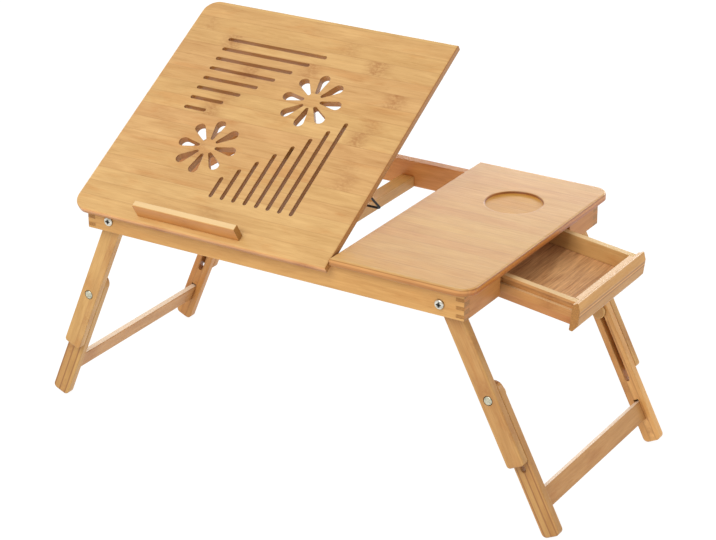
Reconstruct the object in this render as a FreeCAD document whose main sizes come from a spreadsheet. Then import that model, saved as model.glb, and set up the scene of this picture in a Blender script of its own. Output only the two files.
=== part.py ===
import FreeCAD, Part
import math
import os
import re
import Sketcher

# Folding bamboo laptop stand: a fixed panel, a tilting panel on two hinges,
# a pull-out drawer under the fixed panel, and two pairs of telescoping legs
# that fold under the rails.
# Frame: origin on the floor under the middle of the top, X along its length,
# Y from the user's side to the back, Z up. The model stands as it is used:
# the panel is tilted, the legs are out and the drawer is open.

os.makedirs("parts", exist_ok=True)
doc = FreeCAD.newDocument("LaptopStand")
sheet = doc.addObject("Spreadsheet::Sheet", "Sizes")

sizes = {
    # the top
    "stand_height": 302,
    "top_length": 550,
    "top_depth": 350,
    "panel_thickness": 9,
    "panel_corner_radius": 20,
    "panel_edge_radius": 2.5,
    "fixed_panel_length": 182.2,
    "seam_gap": 1.8,
    "cup_radius": 35,
    "cup_depth": 3,
    "cup_from_end": 82,
    "cup_from_middle": 78,
    # the frame of rails
    "end_overhang": 12.6,
    "front_overhang": 11,
    "rail_height": 34,
    "rail_thickness": 12,
    "end_rail_thickness": 10.5,
    "edge_radius": 1,
    "finger_count": 3,
    "finger_height": 4.4,
    "finger_pitch": 10.1,
    "finger_rise": 3.1,
    "bar_width": 18,
    "bar_height": 13.5,
    "bar_offset": 1,
    "bar_notch_radius": 3,
    "bar_notch_depth": 1.2,
    "bar_notch_pitch": 20,
    "bar_notch_count": 5,
    # hinges of the tilting panel
    "rest_tilt_angle": 30.7,
    "hinge_inset": 5,
    "hinge_drop": 8,
    "hinge_end_inset": 63,
    "hinge_mortise_length": 30,
    "hinge_mortise_depth": 15,
    "hinge_pin_radius": 1.5,
    "hinge_eye_radius": 3.8,
    "hinge_sheet": 1.6,
    "hinge_ear_thickness": 2,
    "hinge_lug_width": 8,
    "hinge_side_gap": 0.3,
    "hinge_leaf_length": 26,
    "hinge_leaf_start": 8.5,
    "hinge_leaf_depth": 21.5,
    "hinge_lug_half_depth": 2.5,
    "hinge_screw_spread": 8.5,
    "hinge_rail_screw_spread": 10.8,
    # pattern cut through the tilting panel
    "slot_width": 5.2,
    "slot_pitch": 16.3,
    "slot_count": 8,
    "long_slot_length": 146.2,
    "long_slot_left": 63.2,
    "long_slot_place": 292.6,
    "cross_slot_left": 172.6,
    "cross_slot_place": 57.3,
    "cross_slot_length": 31.7,
    "petal_count": 8,
    "petal_outer_radius": 6.6,
    "petal_inner_radius": 2.2,
    "petal_start": 13.5,
    "petal_end": 34.6,
    "front_flower_x": 128,
    "front_flower_place": 127,
    "back_flower_x": 225,
    "back_flower_place": 225,
    # ledge that stops the laptop
    "ledge_length": 146.5,
    "ledge_from_left": 97,
    "ledge_height": 20,
    "ledge_thickness": 8.3,
    "ledge_setback": 8,
    "ledge_screw_inset": 25,
    # wire prop of the tilting panel
    "wire_radius": 1.5,
    "prop_width": 62,
    "prop_length": 116,
    "prop_angle": 45,
    "prop_bend_radius": 5,
    "prop_end_length": 12,
    "prop_place": 149.5,
    "prop_drop": 3.5,
    "staple_wall": 1.7,
    "staple_width": 6,
    "staple_foot": 6,
    "staple_sheet": 1.2,
    # legs
    "right_lean_angle": 26.5,
    "left_lean_angle": 23.3,
    "pivot_inset": 31.4,
    "pivot_drop": 19.5,
    "leg_width": 23.6,
    "leg_edge_radius": 1.2,
    "upper_leg_thickness": 11,
    "upper_leg_gap": 1.1,
    "upper_leg_length": 208.5,
    "upper_leg_corner_radius": 4,
    "lower_leg_thickness": 11,
    "lower_leg_gap": 0.5,
    "lower_leg_length": 194,
    "foot_radius": 6,
    "clamp_place": 125,
    "leg_slot_width": 6.4,
    "leg_slot_start": 11,
    "leg_slot_travel": 98,
    "stretcher_height": 24,
    "stretcher_thickness": 7,
    "stretcher_rise": 30,
    "tenon_depth": 8,
    "mortise_slack": 2.5,
    # bolts, screws and knobs
    "bolt_radius": 3,
    "running_clearance": 0.05,
    "screw_head_radius": 6,
    "screw_head_height": 2.8,
    "screw_recess_size": 3.4,
    "screw_recess_width": 1.1,
    "screw_recess_depth": 1.4,
    "nut_radius": 5.6,
    "nut_thickness": 4.6,
    "nut_gap": 0.3,
    "clamp_head_radius": 5.6,
    "clamp_head_height": 2.5,
    "clamp_head_sink": 1.8,
    "head_clearance": 0.3,
    "knob_radius": 9,
    "knob_thickness": 5,
    "knob_gap": 0.3,
    "knob_bore_depth": 3.5,
    "knob_edge_radius": 1.6,
    "bolt_end_gap": 0.5,
    "small_screw_radius": 1.2,
    "small_screw_length": 6,
    "small_head_radius": 2.3,
    "small_head_height": 1.2,
    "small_recess_size": 1.3,
    "small_recess_width": 0.5,
    "small_recess_depth": 0.6,
    "ledge_screw_radius": 1.8,
    "ledge_screw_length": 19,
    "ledge_head_radius": 3.6,
    "ledge_head_height": 2,
    # drawer
    "drawer_width": 156,
    "drawer_front_overhang": 6.5,
    "drawer_offset": 4.1,
    "drawer_clearance": 1,
    "drawer_side_thickness": 9,
    "drawer_side_height": 29.6,
    "drawer_groove_height": 8,
    "drawer_groove_depth": 4,
    "drawer_groove_drop": 7.7,
    "drawer_tail": 62.4,
    "drawer_reach": 93.1,
    "drawer_back_thickness": 10,
    "drawer_bottom_thickness": 4,
    "drawer_bottom_rise": 4.7,
    "drawer_bottom_groove": 4,
    "drawer_front_tongue": 4.9,
    "drawer_front_thickness": 9.9,
    "drawer_front_flat": 1.5,
    "drawer_front_rise": 3.9,
    "drawer_front_bevel": 3.9,
    "drawer_front_bevel_drop": 10,
    "drawer_lip_drop": 3.6,
    "drawer_lip_setback": 5.4,
    "drawer_lip_shoulder": 8.6,
    "drawer_peak_radius": 1.5,
    "drawer_face_radius": 3,
    "rest_droop_angle": 7.6,
    "drawer_pin_inset": 6.55,
    "drawer_pin_drop": 18.4,
    "drawer_pin_radius": 3,
    "drawer_pin_seat": 3.5,
    "drawer_pin_reach": 5.2,
    "drawer_travel": 90,
    # runners of the drawer
    "runner_thickness": 14,
    "runner_groove_depth": 8,
    "runner_groove_slack": 0.3,
    "runner_end_slack": 0.65,
    "divider_thickness": 7,
}

for row, (alias, value) in enumerate(sizes.items(), 1):
    sheet.set(f"A{row}", alias)
    sheet.set(f"B{row}", str(value))
    sheet.setAlias(f"B{row}", alias)
doc.recompute()

# Places worked out from the sizes.
railTop = "(stand_height - panel_thickness)"
railBottom = f"({railTop} - rail_height)"
railOutX = "(top_length / 2 - end_overhang)"
railInX = f"({railOutX} - end_rail_thickness)"
railOutY = "(top_depth / 2 - front_overhang)"
railInY = f"({railOutY} - rail_thickness)"
fixedPanelX = "(top_length / 2 - fixed_panel_length)"
tiltingPanelX = f"({fixedPanelX} - seam_gap)"
hingeY = f"(hinge_inset - {railOutY})"
hingeZ = f"({railTop} - hinge_drop)"
hingeMiddles = ["(hinge_end_inset - top_length / 2)", f"({tiltingPanelX} - hinge_end_inset)"]
panelFront = "(0 - front_overhang - hinge_inset)"
panelUnder = "hinge_drop"
panelOver = "(hinge_drop + panel_thickness)"
mortiseFloor = "(hinge_drop - hinge_mortise_depth)"
hingeScrewY = f"({hingeY} + rail_thickness / 2 - hinge_inset)"
leafScrewY = "(hinge_leaf_start + hinge_leaf_depth / 2)"
earLow = "(hinge_lug_width / 2 + hinge_side_gap)"
ledgeMiddle = f"({panelFront} + ledge_setback + ledge_thickness / 2)"
propY = f"({panelFront} + prop_place)"
propZ = "(hinge_drop - prop_drop)"
propRestY = f"({hingeY} + {propY} * cos(rest_tilt_angle) - {propZ} * sin(rest_tilt_angle))"
propRestZ = f"({hingeZ} + {propY} * sin(rest_tilt_angle) + {propZ} * cos(rest_tilt_angle))"
propFootY = f"({propRestY} + prop_length * cos(prop_angle))"
pivotX = f"({railOutX} - pivot_inset)"
pivotZ = f"({railTop} - pivot_drop)"
upperOutY = f"({railInY} - upper_leg_gap)"
upperInY = f"({upperOutY} - upper_leg_thickness)"
lowerOutY = f"({upperInY} - lower_leg_gap)"
lowerInY = f"({lowerOutY} - lower_leg_thickness)"
knobOutY = f"({lowerInY} - knob_gap)"
drawerOutY = "(drawer_width / 2)"
drawerInY = "(drawer_width / 2 - drawer_side_thickness)"
drawerFrontY = "(drawer_width / 2 + drawer_front_overhang)"
openingY = f"({drawerFrontY} + drawer_clearance)"
drawerFrontX = "(drawer_reach + drawer_front_tongue)"
drawerPinX = f"({railOutX} - drawer_pin_inset)"
pinZ = f"({railTop} - drawer_pin_drop)"
grooveHalf = "(drawer_pin_radius + runner_groove_slack)"
drawerTop = "drawer_groove_drop"
drawerBase = "(drawer_groove_drop - drawer_side_height)"
bottomLow = f"({drawerBase} + drawer_bottom_rise)"
bottomHigh = f"({bottomLow} + drawer_bottom_thickness)"
holeRadius = "(bolt_radius + running_clearance)"


def sized(expression):
    """Expression with the sheet's name put before each size it uses."""
    return re.sub(r"[a-z]+(_[a-z]+)+", lambda found: "Sizes." + found.group(), expression)


def number(expression):
    """Present value of an expression of sizes."""
    return float(sheet.evalExpression(sized(expression)))


def whole(expression):
    """Present value of a count."""
    return int(round(number(expression)))


def point(x, y, z):
    return FreeCAD.Vector(number(x), number(y), number(z))


def newBody(label):
    body = doc.addObject("PartDesign::Body", label)
    body.Label = label
    return body


def newSketch(body, name, axis, place):
    """Sketch square to an axis, at a place along it."""
    role = {"X": "YZ_Plane", "Y": "XZ_Plane", "Z": "XY_Plane"}[axis]
    plane = next(item for item in body.Origin.OriginFeatures if item.Role == role)
    sketch = body.newObject("Sketcher::SketchObject", name)
    sketch.AttachmentSupport = (plane, [""])
    sketch.MapMode = "FlatFace"
    # the XZ plane looks along -Y
    offset = f"0 - ({place})" if axis == "Y" else place
    sketch.setExpression("AttachmentOffset.Base.z", sized(offset))
    return sketch


def facesBack(sketch):
    return sketch.AttachmentSupport[0][0].Role == "XZ_Plane"


def fixPoint(sketch, geometry, end, x, y):
    """Ties one point of a sketch to its place from the sketch's origin."""
    for kind, place in (("DistanceX", x), ("DistanceY", y)):
        tie = Sketcher.Constraint(kind, -1, 1, geometry, end, number(place))
        index = sketch.addConstraint(tie)
        sketch.setExpression(f"Constraints[{index}]", sized(place))


def fixRadius(sketch, geometry, radius):
    index = sketch.addConstraint(Sketcher.Constraint("Radius", geometry, number(radius)))
    sketch.setExpression(f"Constraints[{index}]", sized(radius))


def drawOutline(sketch, corners):
    """Closed outline of straight sides, corner by corner."""
    places = [point(x, y, "0") for x, y in corners]
    first = sketch.GeometryCount
    for index, place in enumerate(places):
        following = places[(index + 1) % len(places)]
        sketch.addGeometry(Part.LineSegment(place, following), False)
    for index, (x, y) in enumerate(corners):
        previous = first + (index - 1) % len(corners)
        sketch.addConstraint(Sketcher.Constraint("Coincident", previous, 2, first + index, 1))
        fixPoint(sketch, first + index, 1, x, y)


def drawBox(sketch, left, low, right, high):
    drawOutline(sketch, [(left, low), (right, low), (right, high), (left, high)])


def drawCircle(sketch, x, y, radius):
    circle = Part.Circle(point(x, y, "0"), FreeCAD.Vector(0, 0, 1), number(radius))
    index = sketch.addGeometry(circle, False)
    fixPoint(sketch, index, 3, x, y)
    fixRadius(sketch, index, radius)


def drawRoundSlot(sketch, start, end, startRadius, endRadius):
    """Two round ends joined by the sides that touch both."""
    up = FreeCAD.Vector(0, 0, 1)
    centres = [point(*start, "0"), point(*end, "0")]
    radii = [number(startRadius), number(endRadius)]
    run = centres[1] - centres[0]
    heading = math.atan2(run.y, run.x)
    spread = math.acos((radii[0] - radii[1]) / run.Length)
    sides = [heading + spread, heading - spread]
    rims = []
    for centre, radius in zip(centres, radii):
        rims.append([centre + FreeCAD.Vector(radius * math.cos(side), radius * math.sin(side), 0)
                     for side in sides])
    startCircle = Part.Circle(centres[0], up, radii[0])
    endCircle = Part.Circle(centres[1], up, radii[1])
    turn = 2 * math.pi
    startArc = sketch.addGeometry(Part.ArcOfCircle(startCircle, sides[0], sides[1] + turn), False)
    endArc = sketch.addGeometry(Part.ArcOfCircle(endCircle, sides[1], sides[0]), False)
    leftLine = sketch.addGeometry(Part.LineSegment(rims[0][0], rims[1][0]), False)
    rightLine = sketch.addGeometry(Part.LineSegment(rims[0][1], rims[1][1]), False)
    sketch.addConstraint([
        Sketcher.Constraint("Tangent", startArc, 1, leftLine, 1),
        Sketcher.Constraint("Tangent", startArc, 2, rightLine, 1),
        Sketcher.Constraint("Tangent", endArc, 2, leftLine, 2),
        Sketcher.Constraint("Tangent", endArc, 1, rightLine, 2),
    ])
    fixPoint(sketch, startArc, 3, *start)
    fixPoint(sketch, endArc, 3, *end)
    fixRadius(sketch, startArc, startRadius)
    fixRadius(sketch, endArc, endRadius)


def pad(body, sketch, name, depth):
    """Adds a sketch's area, towards the far end of its axis."""
    feature = body.newObject("PartDesign::Pad", name)
    feature.Profile = sketch
    feature.Reversed = facesBack(sketch)
    feature.setExpression("Length", sized(depth))
    doc.recompute()
    return feature


def pocket(body, sketch, name, depth):
    """Cuts a sketch's area away, towards the far end of its axis."""
    before = body.Shape.Volume
    feature = body.newObject("PartDesign::Pocket", name)
    feature.Profile = sketch
    feature.Reversed = not facesBack(sketch)
    feature.setExpression("Length", sized(depth))
    doc.recompute()
    if not body.Shape.Volume < before:
        raise ValueError(f"{body.Label}: {name} cuts nothing")
    return feature


def turned(body, sketch, name):
    """Turns a profile once round the body's Z axis."""
    feature = body.newObject("PartDesign::Revolution", name)
    feature.Profile = sketch
    feature.ReferenceAxis = (sketch, ["V_Axis"])
    feature.Angle = 360
    doc.recompute()
    return feature


def roundEdges(body, name, radius, edges):
    base = body.Tip
    feature = body.newObject("PartDesign::Fillet", name)
    feature.Base = (base, edges)
    feature.setExpression("Radius", sized(radius))
    doc.recompute()
    return feature


def edgesNear(body, places):
    """Names of the edges that pass nearest to the places."""
    names = []
    for place in places:
        spot = Part.Vertex(point(*place))
        gaps = [edge.distToShape(spot)[0] for edge in body.Tip.Shape.Edges]
        names.append(f"Edge{gaps.index(min(gaps)) + 1}")
    return names


def edgesAcross(body, axis, place):
    """Names of the edges that lie wholly at one place along an axis."""
    names = []
    level = number(place)
    for index, edge in enumerate(body.Tip.Shape.Edges, 1):
        box = edge.BoundBox
        low = getattr(box, axis + "Min")
        high = getattr(box, axis + "Max")
        if abs(low - level) < 1e-3 and abs(high - level) < 1e-3:
            names.append(f"Edge{index}")
    return names


def place(item, x, y, z, axis=(0, 0, 1), angle="0"):
    """Puts an object at a place that follows the sizes, turned about an axis."""
    turn = FreeCAD.Rotation(FreeCAD.Vector(*axis), number(angle) or 1)
    item.Placement = FreeCAD.Placement(FreeCAD.Vector(), turn)
    item.setExpression("Placement.Base.x", sized(x))
    item.setExpression("Placement.Base.y", sized(y))
    item.setExpression("Placement.Base.z", sized(z))
    item.setExpression("Placement.Rotation.Angle", sized(angle))


def placeOnPanel(item, x, y, z, turn="0"):
    """Puts an object where it rides the tilting panel, from the hinge axis."""
    along = f"{hingeY} + ({y}) * cos(rest_tilt_angle) - ({z}) * sin(rest_tilt_angle)"
    above = f"{hingeZ} + ({y}) * sin(rest_tilt_angle) + ({z}) * cos(rest_tilt_angle)"
    place(item, x, along, above, (1, 0, 0), f"rest_tilt_angle + {turn}")


def sideSign(side):
    return "1" if side == "right" else "-1"


def footPlace(side):
    """Distance from a leg's pivot to its square foot, whose lower corner is on the floor."""
    lean = f"{side}_lean_angle"
    corner = f"leg_width / 2 * sin({lean}) - foot_radius * (sin({lean}) + cos({lean}) - 1)"
    return f"(({pivotZ} - ({corner})) / cos({lean}))"


def placeOnLeg(item, side, along="0"):
    """Puts an object on a leg's centre line, leaning with the leg."""
    sign = sideSign(side)
    x = f"{sign} * ({pivotX} + ({along}) * sin({side}_lean_angle))"
    z = f"{pivotZ} - ({along}) * cos({side}_lean_angle)"
    place(item, x, "0", z, (0, 1, 0), f"-{sign} * {side}_lean_angle")


def group(label, members):
    """Separate equal solids kept as one sub-part."""
    compound = doc.addObject("Part::Compound", label)
    compound.Label = label
    compound.Links = members
    return compound


def fingered(base, tip):
    """Corners of an edge with finger joints, from the rail's bottom to its top."""
    corners = [(base, railBottom)]
    for finger in range(whole("finger_count")):
        low = f"{railBottom} + finger_rise + {finger} * finger_pitch"
        high = f"{low} + finger_height"
        corners += [(base, low), (tip, low), (tip, high), (base, high)]
    corners.append((base, railTop))
    return corners


def plain(edge):
    return [(edge, railBottom), (edge, railTop)]


def longRail(label, low, roundTop):
    """Rail along X with notches at both ends for the end rails' fingers."""
    rail = newBody(label)
    profile = newSketch(rail, label + "_profile", "Y", low)
    right = fingered(railOutX, railInX)
    left = fingered(f"0 - {railOutX}", f"0 - {railInX}")
    drawOutline(profile, right + left[::-1])
    pad(rail, profile, label + "_length", "rail_thickness")
    high = f"{low} + rail_thickness"
    if roundTop:
        roundEdges(rail, label + "_swing", "hinge_inset", edgesNear(rail, [("0", low, railTop)]))
    soft = [("0", low, railBottom), ("0", high, railBottom)]
    roundEdges(rail, label + "_soft", "edge_radius", edgesNear(rail, soft))
    for sign in ("1", "-1"):
        hole = newSketch(rail, f"{label}_pivot_{sign[0]}", "Y", low)
        drawCircle(hole, f"{sign} * {pivotX}", pivotZ, holeRadius)
        pocket(rail, hole, f"{label}_hole_{sign[0]}", "rail_thickness")
    return rail


def frontRail():
    rail = longRail("front_rail", f"0 - {railOutY}", True)
    for index, middle in enumerate(hingeMiddles):
        notch = newSketch(rail, f"hinge_notch_{index}", "Y", f"0 - {railOutY}")
        low = f"{hingeZ} + {mortiseFloor}"
        drawBox(notch, f"{middle} - hinge_mortise_length / 2", low,
                f"{middle} + hinge_mortise_length / 2", f"{railTop} + panel_thickness")
        pocket(rail, notch, f"hinge_mortise_{index}", "rail_thickness")
        holes = newSketch(rail, f"hinge_holes_{index}", "Z", f"{low} - small_screw_length")
        for side in "-+":
            drawCircle(holes, f"{middle} {side} hinge_rail_screw_spread", hingeScrewY,
                       "small_screw_radius + running_clearance")
        pocket(rail, holes, f"hinge_screw_holes_{index}", "small_screw_length")
    return rail


def endRail(label, low, edge, left=False):
    """Rail along Y whose fingers fill the long rails' notches."""
    rail = newBody(label)
    start = f"0 - {railOutX}" if left else railInX
    profile = newSketch(rail, label + "_profile", "X", start)
    drawOutline(profile, edge + low[::-1])
    pad(rail, profile, label + "_length", "end_rail_thickness")
    return rail


def leftEndRail():
    back = fingered(railInY, railOutY)
    front = fingered(f"0 - {railInY}", f"0 - {railOutY}")
    rail = endRail("left_end_rail", front, back, True)
    outer = f"0 - {railOutX}"
    roundEdges(rail, "left_end_soft", "edge_radius", edgesNear(rail, [(outer, "0", railBottom)]))
    return rail


def openingEdge(sign):
    return f"(drawer_offset {sign} {openingY})"


def pinMortise(rail, name, face, direction):
    """Blind groove in a stub's end, where the drawer's pin stops."""
    low = f"{face} - runner_groove_depth" if direction == "-" else face
    groove = newSketch(rail, name, "Y", low)
    reach = f"{drawerPinX} + drawer_pin_radius + runner_end_slack"
    drawBox(groove, railInX, f"{pinZ} - {grooveHalf}", reach, f"{pinZ} + {grooveHalf}")
    pocket(rail, groove, name + "_cut", "runner_groove_depth")


def rightEndRails():
    front = fingered(f"0 - {railInY}", f"0 - {railOutY}")
    nearStub = endRail("right_end_rail_front", front, plain(openingEdge("-")))
    pinMortise(nearStub, "front_pin_mortise", openingEdge("-"), "-")
    back = fingered(railInY, railOutY)
    farStub = endRail("right_end_rail_back", plain(openingEdge("+")), back)
    pinMortise(farStub, "back_pin_mortise", openingEdge("+"), "+")
    return nearStub, farStub


def centreBar():
    """Bar that the wire prop stands on, with shallow notches across its top."""
    bar = newBody("centre_bar")
    profile = newSketch(bar, "bar_profile", "Y", f"0 - {railInY}")
    top = f"{railBottom} + bar_height"
    drawBox(profile, "bar_offset - bar_width / 2", railBottom, "bar_offset + bar_width / 2", top)
    pad(bar, profile, "bar_length", f"2 * {railInY}")
    notches = newSketch(bar, "bar_notches", "X", "bar_offset - bar_width / 2")
    for index in range(whole("bar_notch_count")):
        y = f"{propFootY} - {index - 1} * bar_notch_pitch"
        drawCircle(notches, y, f"{top} + bar_notch_radius - bar_notch_depth", "bar_notch_radius")
    pocket(bar, notches, "bar_notch_row", "bar_width")
    return bar


def drawerRunner(label, low, grooveLow):
    """Runner beside the drawer, with a groove for the drawer's pin."""
    runner = newBody(label)
    profile = newSketch(runner, label + "_profile", "X", f"{fixedPanelX} + divider_thickness")
    drawBox(profile, low, railBottom, f"{low} + runner_thickness", railTop)
    length = f"{railInX} - {fixedPanelX} - divider_thickness"
    pad(runner, profile, label + "_length", length)
    groove = newSketch(runner, label + "_groove", "Y", grooveLow)
    start = f"{drawerPinX} - drawer_travel - drawer_pin_radius - runner_end_slack"
    drawBox(groove, start, f"{pinZ} - {grooveHalf}", railInX, f"{pinZ} + {grooveHalf}")
    pocket(runner, groove, label + "_groove_cut", "runner_groove_depth")
    return runner


def drawerRunners():
    near = openingEdge("-")
    far = openingEdge("+")
    front = drawerRunner("drawer_runner_front", f"{near} - runner_thickness",
                         f"{near} - runner_groove_depth")
    back = drawerRunner("drawer_runner_back", far, far)
    return front, back


def drawerDivider():
    """Cross piece under the fixed panel's inner edge, behind the drawer."""
    divider = newBody("drawer_divider")
    profile = newSketch(divider, "divider_profile", "X", fixedPanelX)
    drawBox(profile, f"{openingEdge('-')} - runner_thickness", railBottom,
            f"{openingEdge('+')} + runner_thickness", railTop)
    pad(divider, profile, "divider_length", "divider_thickness")
    return divider


def panelBlank(label, left, right, front, low, cornerX):
    """Flat panel with two rounded corners and softened edges."""
    panel = newBody(label)
    profile = newSketch(panel, label + "_profile", "Z", low)
    back = f"{front} + top_depth"
    drawBox(profile, left, front, right, back)
    pad(panel, profile, label + "_thickness", "panel_thickness")
    middle = f"{low} + panel_thickness / 2"
    corners = [(cornerX, front, middle), (cornerX, back, middle)]
    roundEdges(panel, label + "_corners", "panel_corner_radius", edgesNear(panel, corners))
    high = f"{low} + panel_thickness"
    roundEdges(panel, label + "_rim", "panel_edge_radius", edgesAcross(panel, "Z", high))
    roundEdges(panel, label + "_under_rim", "edge_radius", edgesAcross(panel, "Z", low))
    return panel


def fixedPanel():
    panel = panelBlank("fixed_panel", fixedPanelX, "top_length / 2", "0 - top_depth / 2",
                       railTop, "top_length / 2")
    recess = newSketch(panel, "cup_outline", "Z", "stand_height - cup_depth")
    drawCircle(recess, "top_length / 2 - cup_from_end", "cup_from_middle", "cup_radius")
    pocket(panel, recess, "cup_recess", "cup_depth")
    rim = [("top_length / 2 - cup_from_end + cup_radius", "cup_from_middle", "stand_height")]
    roundEdges(panel, "cup_rim", "edge_radius", edgesNear(panel, rim))
    return panel


def slotRow(panel, name, howMany, ends):
    """Slots cut through the tilting panel, each from the ends a rule gives."""
    sketch = newSketch(panel, name, "Z", panelUnder)
    for index in range(howMany):
        start, end = ends(index)
        drawRoundSlot(sketch, start, end, "slot_width / 2", "slot_width / 2")
    pocket(panel, sketch, name + "_cut", "panel_thickness")


def longSlotEnds(index):
    """Slots along X, each shorter than the one behind it by one pitch."""
    left = "(long_slot_left - top_length / 2 + slot_width / 2)"
    right = f"({left} + long_slot_length - slot_width - {index} * slot_pitch)"
    y = f"({panelFront} + long_slot_place - {index} * slot_pitch)"
    return (left, y), (right, y)


def crossSlotEnds(index):
    """Slots along Y, each longer than the one left of it by one pitch."""
    x = f"(cross_slot_left - top_length / 2 + {index} * slot_pitch)"
    low = f"({panelFront} + cross_slot_place + slot_width / 2)"
    high = f"({low} + cross_slot_length - slot_width + {index} * slot_pitch)"
    return (x, low), (x, high)


def flower(panel, name, fromLeft, fromFront):
    """Ring of petals cut through the tilting panel."""
    sketch = newSketch(panel, name, "Z", panelUnder)
    x = f"({fromLeft} - top_length / 2)"
    y = f"({panelFront} + {fromFront})"
    for index in range(whole("petal_count")):
        turn = f"({index} * 360 / petal_count)"
        start = (f"{x} + petal_start * cos({turn})", f"{y} + petal_start * sin({turn})")
        end = (f"{x} + petal_end * cos({turn})", f"{y} + petal_end * sin({turn})")
        drawRoundSlot(sketch, start, end, "petal_inner_radius", "petal_outer_radius")
    pocket(panel, sketch, name + "_cut", "panel_thickness")


def ledgeScrewPlaces():
    start = "(ledge_from_left - top_length / 2)"
    return [f"({start} + ledge_screw_inset)", f"({start} + ledge_length - ledge_screw_inset)"]


def tiltingPanel():
    """Panel the laptop lies on, drawn from the hinge axis and tilted about it."""
    panel = panelBlank("tilting_panel", "0 - top_length / 2", tiltingPanelX, panelFront,
                       panelUnder, "0 - top_length / 2")
    slotRow(panel, "long_slots", whole("slot_count"), longSlotEnds)
    slotRow(panel, "cross_slots", whole("slot_count"), crossSlotEnds)
    flower(panel, "front_flower", "front_flower_x", "front_flower_place")
    flower(panel, "back_flower", "back_flower_x", "back_flower_place")
    holes = newSketch(panel, "ledge_holes", "Z", panelUnder)
    for x in ledgeScrewPlaces():
        drawCircle(holes, x, ledgeMiddle, "ledge_head_radius + running_clearance")
    pocket(panel, holes, "ledge_head_holes", "ledge_head_height")
    shanks = newSketch(panel, "ledge_shank_holes", "Z", panelUnder)
    for x in ledgeScrewPlaces():
        drawCircle(shanks, x, ledgeMiddle, "ledge_screw_radius + running_clearance")
    pocket(panel, shanks, "ledge_shank_cut", "panel_thickness")
    pilots = newSketch(panel, "leaf_pilots", "Z", panelUnder)
    for middle in hingeMiddles:
        for sign in "-+":
            drawCircle(pilots, f"{middle} {sign} hinge_screw_spread", leafScrewY,
                       "small_screw_radius + running_clearance")
    pocket(panel, pilots, "leaf_pilot_cut", "small_screw_length + running_clearance")
    placeOnPanel(panel, "0", "0", "0")
    return panel


def ledge():
    """Upright strip that keeps the laptop from sliding off the front."""
    strip = newBody("ledge")
    start = "ledge_from_left - top_length / 2"
    profile = newSketch(strip, "ledge_profile", "X", start)
    front = f"({panelFront} + ledge_setback)"
    top = f"({panelOver} + ledge_height)"
    drawBox(profile, front, panelOver, f"{front} + ledge_thickness", top)
    pad(strip, profile, "ledge_run", "ledge_length")
    roundEdges(strip, "ledge_soft", "edge_radius", edgesAcross(strip, "Z", top))
    holes = newSketch(strip, "ledge_pilots", "Z", panelOver)
    for x in ledgeScrewPlaces():
        drawCircle(holes, x, ledgeMiddle, "ledge_screw_radius + running_clearance")
    pocket(strip, holes, "ledge_pilot_cut",
           "ledge_screw_length - panel_thickness + ledge_head_height")
    placeOnPanel(strip, "0", "0", "0")
    return strip


def screw(label, shankRadius, shankLength, headRadius, headHeight, recess=None):
    """Screw along Z, its head above the origin and its shank below."""
    body = newBody(label)
    profile = newSketch(body, label + "_profile", "Y", "0")
    drawOutline(profile, [("0", f"0 - {shankLength}"), (shankRadius, f"0 - {shankLength}"),
                          (shankRadius, "0"), (headRadius, "0"), (headRadius, headHeight),
                          ("0", headHeight)])
    turned(body, profile, label + "_turned")
    rim = [(headRadius, "0", headHeight)]
    roundEdges(body, label + "_dome", f"{headHeight} * 3 / 4", edgesNear(body, rim))
    if recess:
        size, width, depth = recess
        cross = newSketch(body, label + "_cross", "Z", f"{headHeight} - {depth}")
        far = size
        near = f"{width} / 2"
        drawOutline(cross, [
            (far, f"0 - {near}"), (far, near), (near, near), (near, far),
            (f"0 - {near}", far), (f"0 - {near}", near), (f"0 - {far}", near),
            (f"0 - {far}", f"0 - {near}"), (f"0 - {near}", f"0 - {near}"),
            (f"0 - {near}", f"0 - {far}"), (near, f"0 - {far}"), (near, f"0 - {near}"),
        ])
        pocket(body, cross, label + "_recess", depth)
    return body


def pivotScrews():
    """Four bolts through the long rails, one for each upper leg to turn on."""
    screws = []
    length = f"({railOutY} - {upperInY} + nut_gap + nut_thickness)"
    recess = ("screw_recess_size", "screw_recess_width", "screw_recess_depth")
    for side in ("right", "left"):
        for sign in ("-1", "1"):
            label = f"pivot_screw_{side}_{'front' if sign == '-1' else 'back'}"
            body = screw(label, "bolt_radius", length, "screw_head_radius",
                         "screw_head_height", recess)
            place(body, f"{sideSign(side)} * {pivotX}", f"{sign} * {railOutY}", pivotZ,
                  (1, 0, 0), f"-90 * {sign}")
            screws.append(body)
    return group("pivot_screws", screws)


def pivotNuts():
    """Nuts on the pivot bolts, inside the upper legs."""
    nuts = []
    for side in ("right", "left"):
        for sign, low in (("-1", f"0 - {upperInY} + nut_gap"),
                          ("1", f"{upperInY} - nut_gap - nut_thickness")):
            label = f"pivot_nut_{side}_{'front' if sign == '-1' else 'back'}"
            body = newBody(label)
            face = newSketch(body, label + "_face", "Y", low)
            corners = []
            for corner in range(6):
                turn = f"({corner} * 60)"
                corners.append((f"nut_radius * cos({turn})", f"nut_radius * sin({turn})"))
            drawOutline(face, corners)
            pad(body, face, label + "_block", "nut_thickness")
            bore = newSketch(body, label + "_bore", "Y", low)
            drawCircle(bore, "0", "0", "bolt_radius")
            pocket(body, bore, label + "_thread", "nut_thickness")
            place(body, f"{sideSign(side)} * {pivotX}", "0", pivotZ)
            nuts.append(body)
    return group("pivot_nuts", nuts)


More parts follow.
